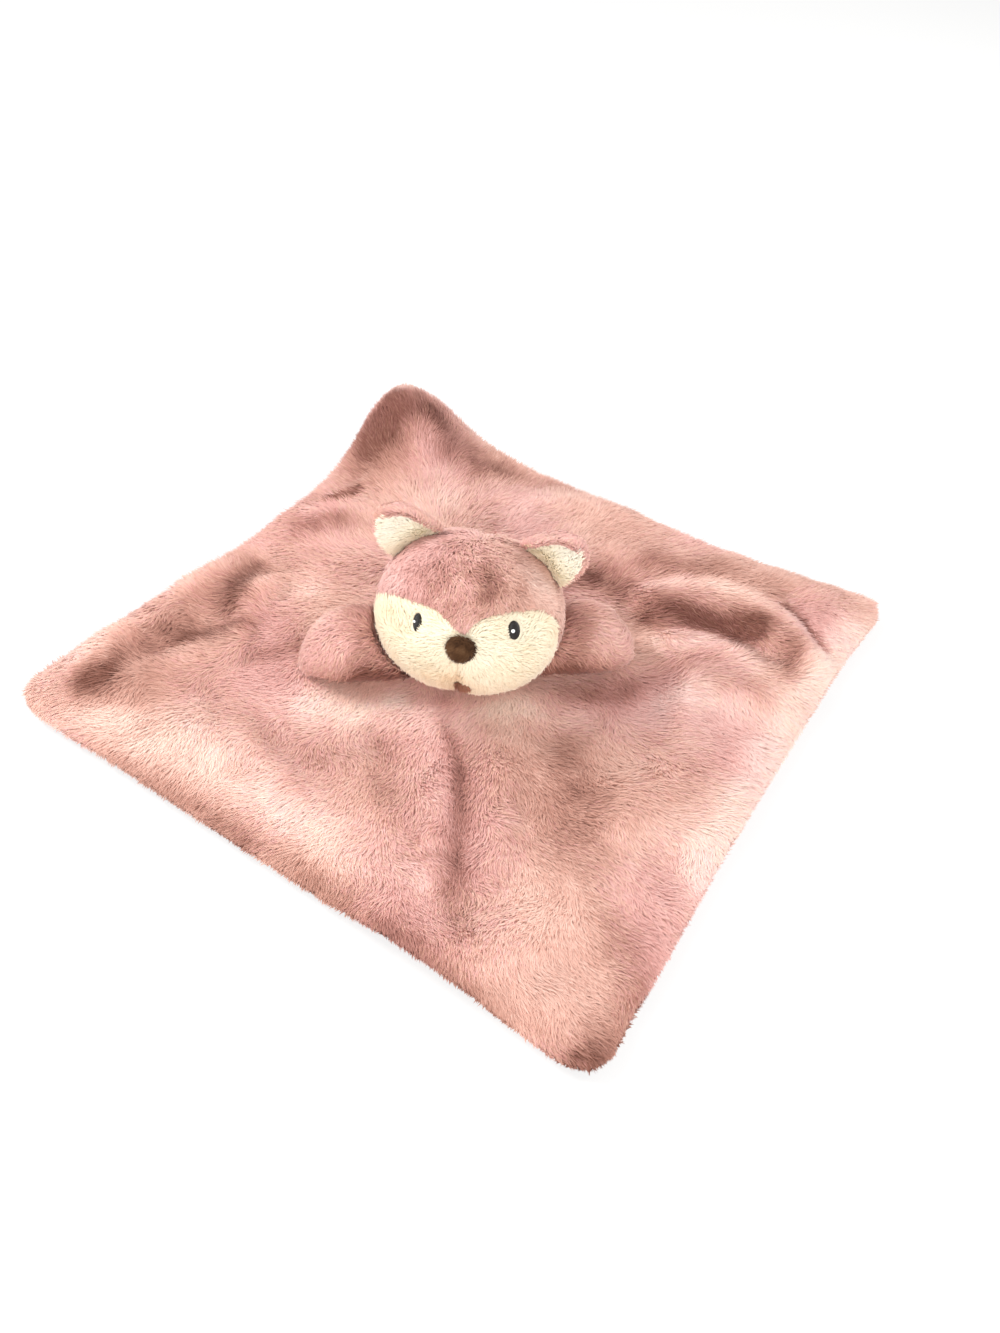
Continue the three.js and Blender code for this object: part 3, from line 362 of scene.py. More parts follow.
# Painted light and shade on the blanket's pile, drawn as for the folds, but with the change of tone for the
# height: dark strokes paint shade in the valleys, on slopes turned from the light and in the shadow of the
# head and the right arm; light ones paint highlights on lit crests and edges and lift the shade under the
# chin and the left arm.
painted_light_strokes = np.array([
    (-212, 667, -155, 735, -97, 789, 80, -750),
    (-304, 682, -240, 769, -158, 841, 20, 200),
    (-126, 825, -76, 810, -25, 786, 50, -350),
    (5, 785, 43, 695, 135, 659, 65, -600),
    (-54, 689, -46, 655, -37, 619, 30, 100),
    (159, 638, 246, 592, 342, 534, 35, -300),
    (53, 880, 127, 810, 209, 711, 20, 220),
    (-19, 567, 33, 497, 100, 442, 70, 120),
    (-350, 572, -286, 556, -219, 593, 12, -600),
    (-384, 525, -309, 529, -201, 577, 20, 250),
    (-401, 464, -320, 486, -230, 479, 40, -350),
    (-910, 34, -844, 55, -735, 150, 42, -550),
    (-678, 143, -608, 137, -535, 156, 33, -500),
    (-558, 215, -538, 269, -504, 343, 45, -600),
    (-776, 130, -675, 210, -557, 297, 60, -200),
    (-841, -5, -758, -7, -660, 36, 50, -250),
    (-870, -38, -613, -232, -398, -456, 80, 400),
    (-540, 232, -446, 270, -343, 253, 40, 250),
    (-543, 64, -480, 80, -421, 91, 28, -300),
    (-446, -69, -345, -115, -215, -125, 55, 550),
    (-150, -145, -89, -175, -8, -165, 50, 300),
    (-36, -141, 48, -172, 141, -214, 50, 350),
    (378, 64, 533, 38, 656, -26, 38, -650),
    (669, -15, 702, -116, 641, -194, 30, -350),
    (396, 138, 578, 112, 717, -40, 25, 300),
    (384, -4, 538, -69, 655, -212, 28, 300),
    (128, -130, 341, -132, 605, -38, 42, -350),
    (324, -194, 438, -189, 602, -259, 45, 250),
    (744, 50, 788, -10, 814, -86, 12, -600),
    (423, 225, 583, 189, 739, 103, 50, -250),
    (259, 235, 331, 196, 401, 124, 40, -500),
    (931, -29, 612, -332, 298, -638, 70, 700),
    (-913, 89, -773, 204, -585, 353, 22, 200),
    (110, -245, 86, -390, 69, -557, 60, -300),
    (-29, -212, 30, -247, 43, -330, 50, 200),
    (-74, -451, -67, -560, -75, -675, 50, 150),
    (77, -711, 105, -819, 62, -908, 50, -300),
    (-940, -94, -507, -475, -175, -866, 35, -400),
    (-108, -933, -31, -957, 26, -939, 65, -600),
    (-130, -119, -139, -334, -189, -517, 28, -300),
    (-198, -550, -212, -611, -230, -670, 30, -250),
    (-270, -136, -290, -254, -297, -354, 34, -300),
    (-273, -501, -232, -497, -180, -519, 8, -150),
    (-186, -162, -207, -357, -245, -491, 30, 150),
    (-290, -522, -259, -571, -248, -667, 30, 200),
]) / 1000


def tone_with_painted_light(points):
    """The tone of the blanket's pile: the cloth's own, and the strokes of painted light and shade broken up
    by a noise.
    """
    tone = cloth_tone(points)
    broken = 0.85 + 0.3 * soft_noise(points, 0.011, 24)
    for stroke in painted_light_strokes:
        tone = tone + stroke[7] * broken * np.minimum(stroke_height(points[..., :2], stroke), 1.3)
    return np.clip(tone, 0.02, 0.98)


def pink_patches(points):
    """The share of pinker locks: soft patches a few centimetres wide."""
    return np.clip(0.4 + 0.9 * soft_noise(points, 0.036, 25), 0, 1)


def blanket_nap(points):
    """The nap leads outwards from the head and a little to the front."""
    return np.array((0.0, -0.35, 0.0)) + (points - head_centre) * (1, 1, 0) / reach_x


blanket_top, blanket_back, blanket_middle = blanket_faces(*blanket_shares)
outwards = blanket_nap(blanket_top)
top_normals = grid_normals(blanket_top)
top_base = clump_relief(blanket_top - top_normals * pile_depth, top_normals, outwards, top_relief)
top_under = top_base[::4, ::4].copy()
top_under[..., 2] = np.minimum(blanket_middle[::4, ::4, 2] + layer_gap / 2, top_under[..., 2] - rim_backing)
blanket_top_piece = make_shell("blanket_top", top_base, top_under, tone_with_painted_light(top_base))

back_grid = blanket_back[::2, ::2]
back_normals = -grid_normals(back_grid)
back_base = back_grid - back_normals * pile_depth
back_base = clump_relief(back_base, back_normals, outwards[::2, ::2], back_relief)
back_base[..., 2] = np.maximum(back_base[..., 2], flat_cut)
back_over = back_base[::4, ::4].copy()
back_over[..., 2] = np.maximum(blanket_middle[::8, ::8, 2] - layer_gap / 2, back_over[..., 2] + rim_backing)
blanket_back_piece = make_shell(
    "blanket_back", back_base[:, ::-1], back_over[:, ::-1], cloth_tone(back_base[:, ::-1])
)


def srgb(red, green, blue):
    """A colour given in screen values from 0 to 255, as linear numbers."""
    screen = np.array((red, green, blue)) / 255
    linear = np.where(screen <= 0.04045, screen / 12.92, ((screen + 0.055) / 1.055) ** 2.4)
    return (*linear, 1.0)


def dye(*stops):
    """The stops of a colour ramp, each a tone from 0 to 1 and its colour in screen values."""
    return [(tone, srgb(*colour)) for tone, *colour in stops]


# The darkest and lightest stops are mostly reached through the painted shade and painted highlights of the
# strokes.
rose_tones = dye(
    (0.0, 128, 82, 69), (0.3, 194, 144, 128), (0.55, 227, 181, 165),
    (0.8, 245, 207, 192), (1.0, 253, 227, 212),
)
pink_tones = dye(
    (0.0, 128, 80, 70), (0.3, 194, 140, 129), (0.55, 227, 175, 167),
    (0.8, 243, 200, 192), (1.0, 251, 220, 212),
)
pink_share = 0.51


def wire(tree, node, inputs):
    """A node with its inputs filled: another node's output is linked, any other value is the input's own."""
    if isinstance(node, str):
        node = tree.nodes.new("ShaderNode" + node)
    for key, value in inputs.items():
        if isinstance(value, bpy.types.NodeSocket):
            tree.links.new(value, node.inputs[key])
        else:
            node.inputs[key].default_value = value
    return node


def new_finish(name):
    """A material, its node tree and its shader."""
    finish = bpy.data.materials.new(name)
    finish.use_nodes = True
    return finish, finish.node_tree, finish.node_tree.nodes["Principled BSDF"]


def add_grain(tree, shader, texture, inputs, strength, distance):
    """A fine texture in the piece's own space, which lifts the surface. Returns its value."""
    place = tree.nodes.new("ShaderNodeTexCoord")
    grain = wire(tree, texture, {"Vector": place.outputs["Object"], **inputs}).outputs["Fac"]
    bump = wire(tree, "Bump", {"Strength": strength, "Distance": distance, "Height": grain})
    wire(tree, shader, {"Normal": bump.outputs["Normal"]})
    return grain


def plush_finish(name, tones, root_share, on_locks, sheen=0.28, pinker=None):
    """Brushed pile: the dye's tone through a colour ramp, darker towards the root of a lock as painted shade
    deep in the pile. Locks read their tone and height from their own map, whose upper half holds the pinker
    tones. The ground between them reads its tone attribute and a fine noise."""
    finish, tree, shader = new_finish(name)
    if on_locks:
        half = 1 - pink_share
        tones = [(x * half, y) for x, y in tones] + [(pink_share + x * half, y) for x, y in pinker or tones]
        own_map = tree.nodes.new("ShaderNodeUVMap")
        own_map.uv_map = "OFBake"
        parts = wire(tree, "SeparateXYZ", {"Vector": own_map.outputs["UV"]})
        tone, height = parts.outputs["X"], parts.outputs["Y"]
    else:
        held = tree.nodes.new("ShaderNodeAttribute")
        held.attribute_name = "tone"
        tone = held.outputs["Fac"]
        height = add_grain(tree, shader, "TexNoise", {"Scale": 900, "Detail": 3}, 0.4, 0.0006)
    ramp = wire(tree, "ValToRGB", {"Fac": tone})
    stops = ramp.color_ramp.elements
    stops[0].position, stops[0].color = tones[0]
    stops[1].position, stops[1].color = tones[-1]
    for position, colour in tones[1:-1]:
        stops.new(position).color = colour
    depth = wire(tree, "MapRange", {"Value": height, "To Min": root_share, "To Max": 1.0})
    shaded = tree.nodes.new("ShaderNodeVectorMath")
    shaded.operation = "SCALE"
    wire(tree, shaded, {0: ramp.outputs["Color"], "Scale": depth.outputs["Result"]})
    wire(tree, shader, {
        "Base Color": shaded.outputs["Vector"],
        "Roughness": 0.9,
        "Specular IOR Level": 0.12,
        "Sheen Weight": sheen,
        "Sheen Roughness": 0.45,
        "Sheen Tint": (1.0, 0.93, 0.9, 1.0),
    })
    return finish


def dress(piece, finish, body, node=None):
    """Gives a piece its material and the body that it rides, and hides the solid that it stands for."""
    piece.data.materials.append(finish)
    if body:
        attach(piece, body)
    if node:
        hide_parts(node)
    return piece


rose_ground = plush_finish("rose_ground", rose_tones, 0.84, False)
dress(blanket_top_piece, rose_ground, "blanket", "blanket_top_panel")
dress(blanket_back_piece, rose_ground, "blanket", "blanket_back_panel")


# Blanket pile. The brushed face of the cloth: soft locks of fine fibres, about 6 mm long, which lean
# outwards from the middle, swirl a little and gather at their tips, shorter along the round edge.
def sow(points, normals, count, seed, weight=1.0, fields=()):
    """Root places on a grid surface, evenly by area times weight: the running sum of the cells' areas is cut
    into equal parts, each gives one cell, and the place in the cell is drawn at random. Any further fields
    of the grid are read at the same places."""
    rng = np.random.default_rng(seed)
    across = points[:-1, 1:] - points[:-1, :-1]
    along = points[1:, :-1] - points[:-1, :-1]
    running = np.cumsum(np.linalg.norm(np.cross(across, along), axis=-1) * weight)
    draws = (np.arange(count) + rng.random(count)) / count * running[-1]
    row, column = np.divmod(np.searchsorted(running, draws), points.shape[1] - 1)
    u, v = rng.random((2, count, 1))

    def mixed(grid):
        near = grid[row, column] * (1 - u) + grid[row, column + 1] * u
        far = grid[row + 1, column] * (1 - u) + grid[row + 1, column + 1] * u
        return near * (1 - v) + far * v

    return mixed(points), unit(mixed(normals)), *(mixed(field[..., None])[:, 0] for field in fields)


swirl_size = 0.016
tuft_size = 0.0042


def make_locks(
    name, roots, normals, nap, length, width, tones, seed,
    swirl=0.7, pull=0.0012, lean=(50, 80), floor=flat_cut, pinkness=0.0,
):
    """Locks, each a closed spike of three sides. From its root a lock leans off the normal along the nap,
    turned by a soft swirl, and its tip is drawn up the slope of a noise, so that neighbours meet in tufts.
    With two leans it bends halfway from the first to the second. Corner normals lean towards the cloth's,
    as a mass of fibres shades like the surface that it covers."""
    rng = np.random.default_rng(seed)
    count = len(roots)
    flow = along_surface(nap, normals)
    side = np.cross(normals, flow)
    turn = swirl * 1.6 * soft_noise(roots, swirl_size, 31) + 0.3 * swirl * rng.normal(size=count)
    flow = flow * np.cos(turn)[:, None] + side * np.sin(turn)[:, None]
    side = np.cross(normals, flow)
    slope = np.zeros((count, 3))
    for axis in (flow, side):
        ahead, behind = (soft_noise(roots + way * axis * width, tuft_size, 32) for way in (1, -1))
        slope += axis * (ahead - behind)[:, None]
    long = (length * (0.75 + 0.5 * rng.random(count)))[:, None]
    wide = (width * (0.8 + 0.4 * rng.random(count)))[:, None]
    rings = [(1.0, 0.0), (0.8, 0.45)][: len(lean)]
    runs = [(1.0,), (0.45, 0.55)][len(lean) - 1]
    corners, facing, heights = [], [], []
    centre = roots
    for (share, height), angle, run in zip(rings, lean, runs):
        angle = np.radians(angle + 7 * rng.normal(size=count))[:, None]
        ahead = normals * np.cos(angle) + flow * np.sin(angle)
        outer = unit(np.cross(ahead, side))
        for across, up in ((-0.5, 0), (0.5, 0), (0, 0.45)):
            corners.append(centre + (side * across + outer * up) * wide * share)
            facing.append(unit(normals + side * across * 0.7 + outer * up * 0.5))
            heights.append(0.01 + height * 1.2)
        centre = centre + ahead * long * run
    corners.append(centre + slope * pull)
    facing.append(unit(normals + ahead * 0.2))
    heights.append(0.99)
    points = np.stack(corners, 1)
    points[..., 2] = np.maximum(points[..., 2], floor)
    below, around = [], []
    last = 3 * len(rings) - 3
    for low in range(0, last, 3):
        for a, b, sides in ((0, 1, below), (1, 2, around), (2, 0, around)):
            sides += [(low + a, low + b, low + b + 3), (low + a, low + b + 3, low + a + 3)]
    below += [(last, last + 1, last + 3), (1, 0, 2)]
    around += [(last + 1, last + 2, last + 3), (last + 2, last, last + 3)]
    corner_count = points.shape[1]
    spike = np.array(around + below)
    faces = (np.arange(count)[:, None, None] * corner_count + spike).reshape(-1, 3)
    shading = np.stack(facing, 1)[:, spike]
    shading[:, len(around) :] = unit(ahead - 0.8 * normals)[:, None, None]
    tones = np.clip(tones + 0.05 * rng.normal(size=count), 0.01, 0.99) * (1 - pink_share)
    tones = tones + pink_share * (rng.random(count) < pinkness)
    shift = np.array(((-0.002, 0.002, 0) * len(rings)) + (0,))
    height = np.broadcast_to(np.array(heights), (count, corner_count))
    places = np.stack([tones[:, None] + shift, height], -1).reshape(-1, 2)
    return add_object(name, points.reshape(-1, 3), faces, places[faces], facing=shading)


rose_locks = plush_finish("rose_locks", rose_tones, 0.8, True, pinker=pink_tones)
lock_length = 0.0062
lock_width = 0.0011
pile_bands = 4
locks_in_band = 46000
rim_width = 0.008
rim_lock_length = 0.0032
rim_lock_count = 12500
from_edge = (1 - np.maximum(*np.abs(blanket_shares))) * math.hypot(reach_x, reach_y) / 2
bands = np.linspace(0, blanket_cells, pile_bands + 1).astype(int)
for number, (low, high) in enumerate(zip(bands[:-1], bands[1:]), 1):
    band = slice(low, high + 1)
    roots, normals, edge = sow(
        top_base[band], top_normals[band], locks_in_band, 100 + number, fields=[from_edge[band]]
    )
    rolled = 1 - smoothstep(0, rim_width, edge)
    nap = blanket_nap(roots) - np.array((0, 0, 1.2)) * rolled[:, None]
    tones = tone_with_painted_light(roots + unit(nap) * tone_reach)
    locks = make_locks(
        f"blanket_pile_{number}", roots, normals, nap, lock_length * (1 - 0.55 * rolled), lock_width, tones,
        200 + number, pull=0.0008, lean=(68,), pinkness=pink_patches(roots),
    )
    dress(locks, rose_locks, "blanket")

rim_share = 1 - smoothstep(rim_width, rim_width * 1.6, from_edge[::2, ::2])
roots, normals = sow(back_base, back_normals, rim_lock_count, 105, rim_share[:-1, :-1])
nap = unit((roots - head_centre) * (1, 1, 0)) + np.array((0, 0, 0.5))
# Painted shade: the locks on the back's rim are a little darker, as they lie underneath.
rim_pile = make_locks(
    "blanket_rim_pile", roots, normals, nap, rim_lock_length, lock_width, tone_with_painted_light(roots) - 0.15, 205,
    pull=0.0005, lean=(76,), pinkness=pink_patches(roots),
)
dress(rim_pile, rose_locks, "blanket")


# Edge seam. The two cloths are joined by one lockstitched line of rose thread inside the rolled edge,
# which is put in before the blanket is turned right side out, so it shows only from within.
seam_share = 0.948
seam_thread = 0.0006
stitch_length = 0.003
stitch_rise = 0.00015
seam_steps = 360


def make_thread(name, centres, radius, sides):
    """A closed ring of thread: a circle carried round a closed line, in the plane of the line's side
    direction and the upward one."""
    along = np.roll(centres, -1, axis=0) - np.roll(centres, 1, axis=0)
    across = unit(np.cross((0, 0, 1), along))
    up = unit(np.cross(along, across))
    angle = np.linspace(0, -2 * np.pi, sides + 1)[:, None]
    ring = across[:, None] * np.cos(angle) + up[:, None] * np.sin(angle)
    points = centres[:, None] + ring * radius
    return make_closed(name, np.concatenate([points, points[:1]]))


def thread_finish(name, colour, roughness=0.55):
    """Twisted sewing thread: a plain colour, with a fine wave across it for the twist."""
    finish, tree, shader = new_finish(name)
    wire(tree, shader, {"Base Color": colour, "Roughness": roughness, "Specular IOR Level": 0.4})
    add_grain(tree, shader, "TexWave", {"Scale": 900, "Distortion": 1.5}, 0.3, 0.0001)
    return finish


run = np.linspace(-seam_share, seam_share, seam_steps + 1)[:-1]
fixed = np.full(len(run), seam_share)
seam_s = np.concatenate([run, fixed, -run, -fixed])
seam_t = np.concatenate([-fixed, run, fixed, -run])
seam_place = drawn_plan(seam_s, seam_t)
seam_height = cloth_thickness / 2 + blanket_lift(seam_place)
seam_run = np.cumsum(np.linalg.norm(np.diff(seam_place, axis=0, prepend=seam_place[-1:]), axis=-1))
seam_height += stitch_rise * np.sin(seam_run / stitch_length * 2 * np.pi)
seam_line = raised(seam_place, seam_height)
edge_seam = make_thread("blanket_edge_seam_thread", seam_line, seam_thread / 2, 6)
rose_thread = thread_finish("rose_thread", srgb(205, 150, 142))
dress(edge_seam, rose_thread, "blanket", "blanket_edge_seam")


# Head skin. Five panels of the same cloth: a rose forehead that comes down to a point over the nose, two
# cream cheeks that meet in a seam down the chin, and two rose ones behind, sewn and turned over the filling.
head_half_sizes = np.array((0.0448, 0.0378, 0.0382))
head_squareness = 2.15
head_turn = math.radians(-21.5)
head_matrix = np.array(Matrix.Rotation(head_turn, 3, "Z"))
head_rises = [((1.5, 14), 0.0032, 0.42), ((-42, -2), 0.0014, 0.5), ((42, 2), 0.0014, 0.5)]
eye_places = {"left": (-35.3, 26.1), "right": (42, 30.7)}
eye_dimple = 0.0007
nose_place = (2, 22)
chin_seam_depth = 0.0008
skin_thickness = 0.0024
short_pile_depth = 0.0015
panel_seam_dip = 0.0008
panel_seam_roll = 0.0028
panel_seam_gap = 0.003
ear_places = {"left": (-119, 36), "right": (119, 36)}
crown_place = (180, 67)
collar_latitude = -58
crown_share = 0.65
# Patches of the head's tone, each a place, a spread and a change: partly the pile's own tone, such as the
# darker whorl on the crown, and partly painted light: a painted highlight on the right side of the forehead
# and painted shade on the chin.
head_tone_and_light_patches = [
    ((35, 70), 0.2, -0.36),
    ((20, 56), 0.2, -0.18),
    ((60, 52), 0.15, -0.28),
    ((-45, 52), 0.24, -0.25),
    ((-8, 45), 0.16, -0.15),
    ((80, 40), 0.28, 0.2),
    ((60, 70), 0.2, 0.15),
    ((-70, 30), 0.25, 0.12),
    ((0, -24), 0.4, -0.35),
    ((42, -2), 0.25, -0.15),
]
seam_trim = 0.4
seam_trim_width = 0.006
rose_lock_length = 0.0052
cream_lock_length = 0.005
short_lock_width = 0.0009
short_relief = 0.0003
forehead_locks, cheek_locks, back_locks = 9600, 6600, 7600
forehead_cells, cheek_cells, back_cells = (184, 96), (112, 112), (128, 128)
brow_places = [(-80, 10), (-53, 33.5), (-27.5, 41), (-12, 38), (2, 31)]
brow_places += [(9, 38), (24, 43.5), (54, 40.5), (80, 19)]


def direction_of(longitude, latitude):
    """A direction from the middle of the head: 0, 0 is straight out of the face, longitude turns to the
    right as the viewer sees it, and latitude climbs, both in degrees."""
    turn, climb = np.radians(longitude), np.radians(latitude)
    return np.stack([np.cos(climb) * np.sin(turn), -np.cos(climb) * np.cos(turn), np.sin(climb)], -1)


def head_surface(directions, offset=0.0):
    """The head's surface in its own frame: a rounded box whose halved sizes are joined by a power a little
    over 2, plus a Gaussian rise for the snout and each cheek, less a groove along the chin and a dimple
    at each eye."""
    directions = unit(directions)
    radius = ((np.abs(directions) / head_half_sizes) ** head_squareness).sum(-1) ** (-1 / head_squareness)
    dimples = [(place, -eye_dimple, 0.15) for place in eye_places.values()]
    for place, rise, spread in head_rises + dimples:
        angle = np.arccos(np.clip(directions @ direction_of(*place), -1, 1))
        radius = radius + rise * np.exp(-((angle / spread) ** 2))
    groove = np.exp(-((directions[..., 0] / 0.2) ** 2)) * smoothstep(0, 0.5, -directions[..., 1])
    groove = groove * (1 - smoothstep(0, 0.375, directions[..., 2]))
    return directions * (radius - chin_seam_depth * groove + offset)[..., None]


def place_on_head(place):
    """The direction of a place, those across and up beside it, and how far out the head's skin is there."""
    middle = direction_of(*place)
    across = unit(np.cross((0, 0, 1), middle))
    return middle, across, np.cross(middle, across), np.linalg.norm(head_surface(middle))


def from_head(points):
    """Points of the head's frame in the frame of the toy: turned about the upright and moved to its place."""
    return points @ head_matrix.T + head_centre


def head_way(points):
    """The directions in which points of the toy's frame lie from the middle of the head, in its own frame."""
    return unit((points - head_centre) @ head_matrix)


def seam_through(*places):
    """A seam through places on the head: between two of them a cubic whose slope at each is half the step
    between its neighbours."""
    knots = np.array([direction_of(*x) for x in places])
    knots = np.concatenate([2 * knots[:1] - knots[1:2], knots, 2 * knots[-1:] - knots[-2:-1]])

    def seam(share):
        place = np.clip(share, 0, 1) * (len(places) - 1)
        step = np.minimum(place.astype(int), len(places) - 2)
        w = (place - step)[..., None]
        a, b, c, d = (knots[step + i] for i in range(4))
        cubic = w * (c - a) + w**2 * (2 * a - 5 * b + 4 * c - d) + w**3 * (3 * b - a + d - 3 * c)
        return b + cubic / 2

    return seam


def between(start, end):
    """The straightest seam between two places."""
    a, b = direction_of(*start), direction_of(*end)
    return lambda share: unit(a + (b - a) * share[..., None])


def panel_directions(bottom, top, left, right, cells):
    """A panel between four seams: the mean of the two ruled surfaces less the one between its corners."""
    u, v = (np.linspace(panel_seam_gap, 1 - panel_seam_gap, count + 1) for count in cells)
    ends = np.array((0.0, 1.0))
    low, high = bottom(ends), top(ends)
    across, along = u[None, :, None], v[:, None, None]
    grid = bottom(u)[None] * (1 - along) + top(u)[None] * along
    grid = grid + left(v)[:, None] * (1 - across) + right(v)[:, None] * across
    grid = grid - (low[0] * (1 - across) + low[1] * across) * (1 - along)
    return unit(grid - (high[0] * (1 - across) + high[1] * across) * along)


def edge_inset(points):
    """How far each point of a grid is from the grid's nearest side, measured along its lines."""
    nearest = []
    for axis in (0, 1):
        steps = np.linalg.norm(np.diff(points, axis=axis), axis=-1)
        lead = [(0, 0), (0, 0)]
        lead[axis] = (1, 0)
        run = np.cumsum(np.pad(steps, lead), axis=axis)
        nearest.append(np.minimum(run, np.take(run, [-1], axis=axis) - run))
    return np.minimum(*nearest)


def collar(start, end):
    """The panels' lower edge, along the circle where the neck goes in."""
    return lambda share: direction_of(start + (end - start) * share, collar_latitude + 0 * share)


cream_tones = dye(
    (0.0, 224, 192, 152), (0.35, 245, 226, 194),
    (0.7, 253, 242, 217), (1.0, 255, 249, 234),
)
cream_ground = plush_finish("cream_ground", cream_tones, 0.8, False)
cream_locks = plush_finish("cream_locks", cream_tones, 0.8, True)
cloths = {
    "rose": (rose_ground, rose_locks, rose_lock_length, 1.4),
    "cream": (cream_ground, cream_locks, cream_lock_length, 1.0),
}

brow = seam_through(*brow_places)
crown = seam_through(ear_places["left"], crown_place, ear_places["right"])
crown_middle = direction_of(*crown_place)
nose_middle = direction_of(*nose_place)


def head_panel(name, node, directions, cloth, centre, count, seed):
    """One panel with its pile, whose nap leads away from a centre on the head."""
    ground, locks, length, swirl = cloths[cloth]
    skin, directions = turned_to(directions, head_surface(directions), directions)
    dip = np.minimum(edge_inset(skin) / panel_seam_roll, 1)
    dip = short_pile_depth + panel_seam_dip * (1 - np.sqrt(1 - (1 - dip) ** 2))
    base = from_head(head_surface(directions, -dip))
    normals = grid_normals(base)
    relief = short_relief * waves(base, (1, 0.006, 41), (0.5, 0.0028, 42))
    base = base + normals * relief[..., None]
    depth = skin_thickness + dip[::4, ::4] - short_pile_depth
    inner = from_head(head_surface(directions[::4, ::4], -depth))
    piece = make_shell(name, base, inner, cloth_tone(base))
    roots, root_normals, inset = sow(base, normals, count, seed, fields=[edge_inset(base)])
    nearest = np.full(count, 9.0)
    local = head_way(roots)
    for place, wide, high in pad_clearings:
        middle, across, up, reach = place_on_head(place)
        a = local @ across * reach / wide
        b = local @ up * reach / high
        nearest = np.where(local @ middle > 0, np.minimum(nearest, np.hypot(a, b)), nearest)
    kept = nearest > 1
    roots, root_normals, inset, nearest = (x[kept] for x in (roots, root_normals, inset, nearest))
    nap = roots - from_head(head_surface(centre))
    tones = cloth_tone(roots, 0.5)
    local = head_way(roots + unit(nap) * tone_reach)
    for place, spread, change in head_tone_and_light_patches:
        away = np.arccos(np.clip(local @ direction_of(*place), -1, 1))
        tones = tones + change * np.exp(-((away / spread) ** 2))
    tones = tones + 0.12 * soft_noise(roots, 0.0045, 26)
    pinkness = 0.5 - 0.9 * local[:, 0] if cloth == "rose" else 0.0
    length = length * (seam_trim + (1 - seam_trim) * smoothstep(0, seam_trim_width, inset))
    length = length * (0.4 + 0.6 * smoothstep(1, 2.4, nearest))
    pile = make_locks(
        name + "_pile", roots, root_normals, nap, length, short_lock_width, tones, seed + 50,
        swirl=swirl, pull=0.0016, pinkness=pinkness,
    )
    dress(piece, ground, "head", node)
    dress(pile, locks, "head")


eye_half_sizes = {"left": (0.0021, 0.0045), "right": (0.0029, 0.0045)}
nose_half_sizes = (0.0052, 0.0049)
mouth_half_sizes = (0.0032, 0.0026)
mouth_place = (6.5, -22)
eye_clearing = 0.0012
pad_clearings = [
    (eye_places[side], *(eye_clearing + half for half in halves)) for side, halves in eye_half_sizes.items()
]
pad_clearings += [(nose_place, *nose_half_sizes), (mouth_place, *mouth_half_sizes)]

left_side = between(brow_places[0], ear_places["left"])
right_side = between(brow_places[-1], ear_places["right"])
forehead = panel_directions(brow, crown, left_side, right_side, forehead_cells)
head_panel("forehead", "forehead_panel", forehead, "rose", crown_middle, forehead_locks, 301)
for side, sign, end, seed in (("left", -1, 0, 311), ("right", 1, 1, 321)):
    place, ear = brow_places[-end], ear_places[side]
    outer_side = between((place[0], collar_latitude), place)
    middle_side = between((0, collar_latitude), brow_places[4])

    def cheek_top(share):
        return brow(0.5 + (end - 0.5) * share)

    cheek = panel_directions(collar(0, place[0]), cheek_top, middle_side, outer_side, cheek_cells)
    head_panel(f"cheek_{side}", f"cheek_panel_{side}", cheek, "cream", nose_middle, cheek_locks, seed)

    def back_top(share):
        below = (share - crown_share) / (1 - crown_share)
        seam = crown(0.5 + (end - 0.5) * np.minimum(share / crown_share, 1))
        return np.where(share[..., None] < crown_share, seam, between(ear, place)(np.maximum(below, 0)))

    middle_side = between((180 * sign, collar_latitude), crown_place)
    back = panel_directions(collar(180 * sign, place[0]), back_top, middle_side, outer_side, back_cells)
    node = f"head_back_panel_{side}"
    head_panel(f"head_back_{side}", node, back, "rose", crown_middle, back_locks, seed + 5)


# Nose, eyes and mouth. The nose is a tuft of dark brown pile over a small pad, the eyes are satin stitch in
# black thread with a white stitch for the glint, and the mouth is a few loops of red-brown thread.
pad_thickness = 0.0006
stitch_ridge = 0.00008
tuft_length = 0.0032
tuft_width = 0.0007
loop_length = 0.0034
loop_width = 0.0006
mouth_nap = np.array((0.0, -0.2, -1.0))
nose_seat, nose_rise, nose_taper = -0.0012, 0.0038, 0.16
nose_core_depth = 0.004
nose_droop = np.array((0, 0, -0.002))
mouth_seat, mouth_rise = -0.0014, 0.0016
eye_seat, eye_rise = -0.0014, 0.0018
eye_turns = {"left": math.radians(22), "right": math.radians(-12)}
glint_share = 0.3
glint_shifts = (0.45, -0.05)
glint_rise = 0.0004
eye_ridges = 13
nose_cells, mouth_cells, eye_cells, glint_cells = (40, 40), (24, 16), (32, 128), (16, 16)
nose_lock_count, mouth_loop_count = 900, 160


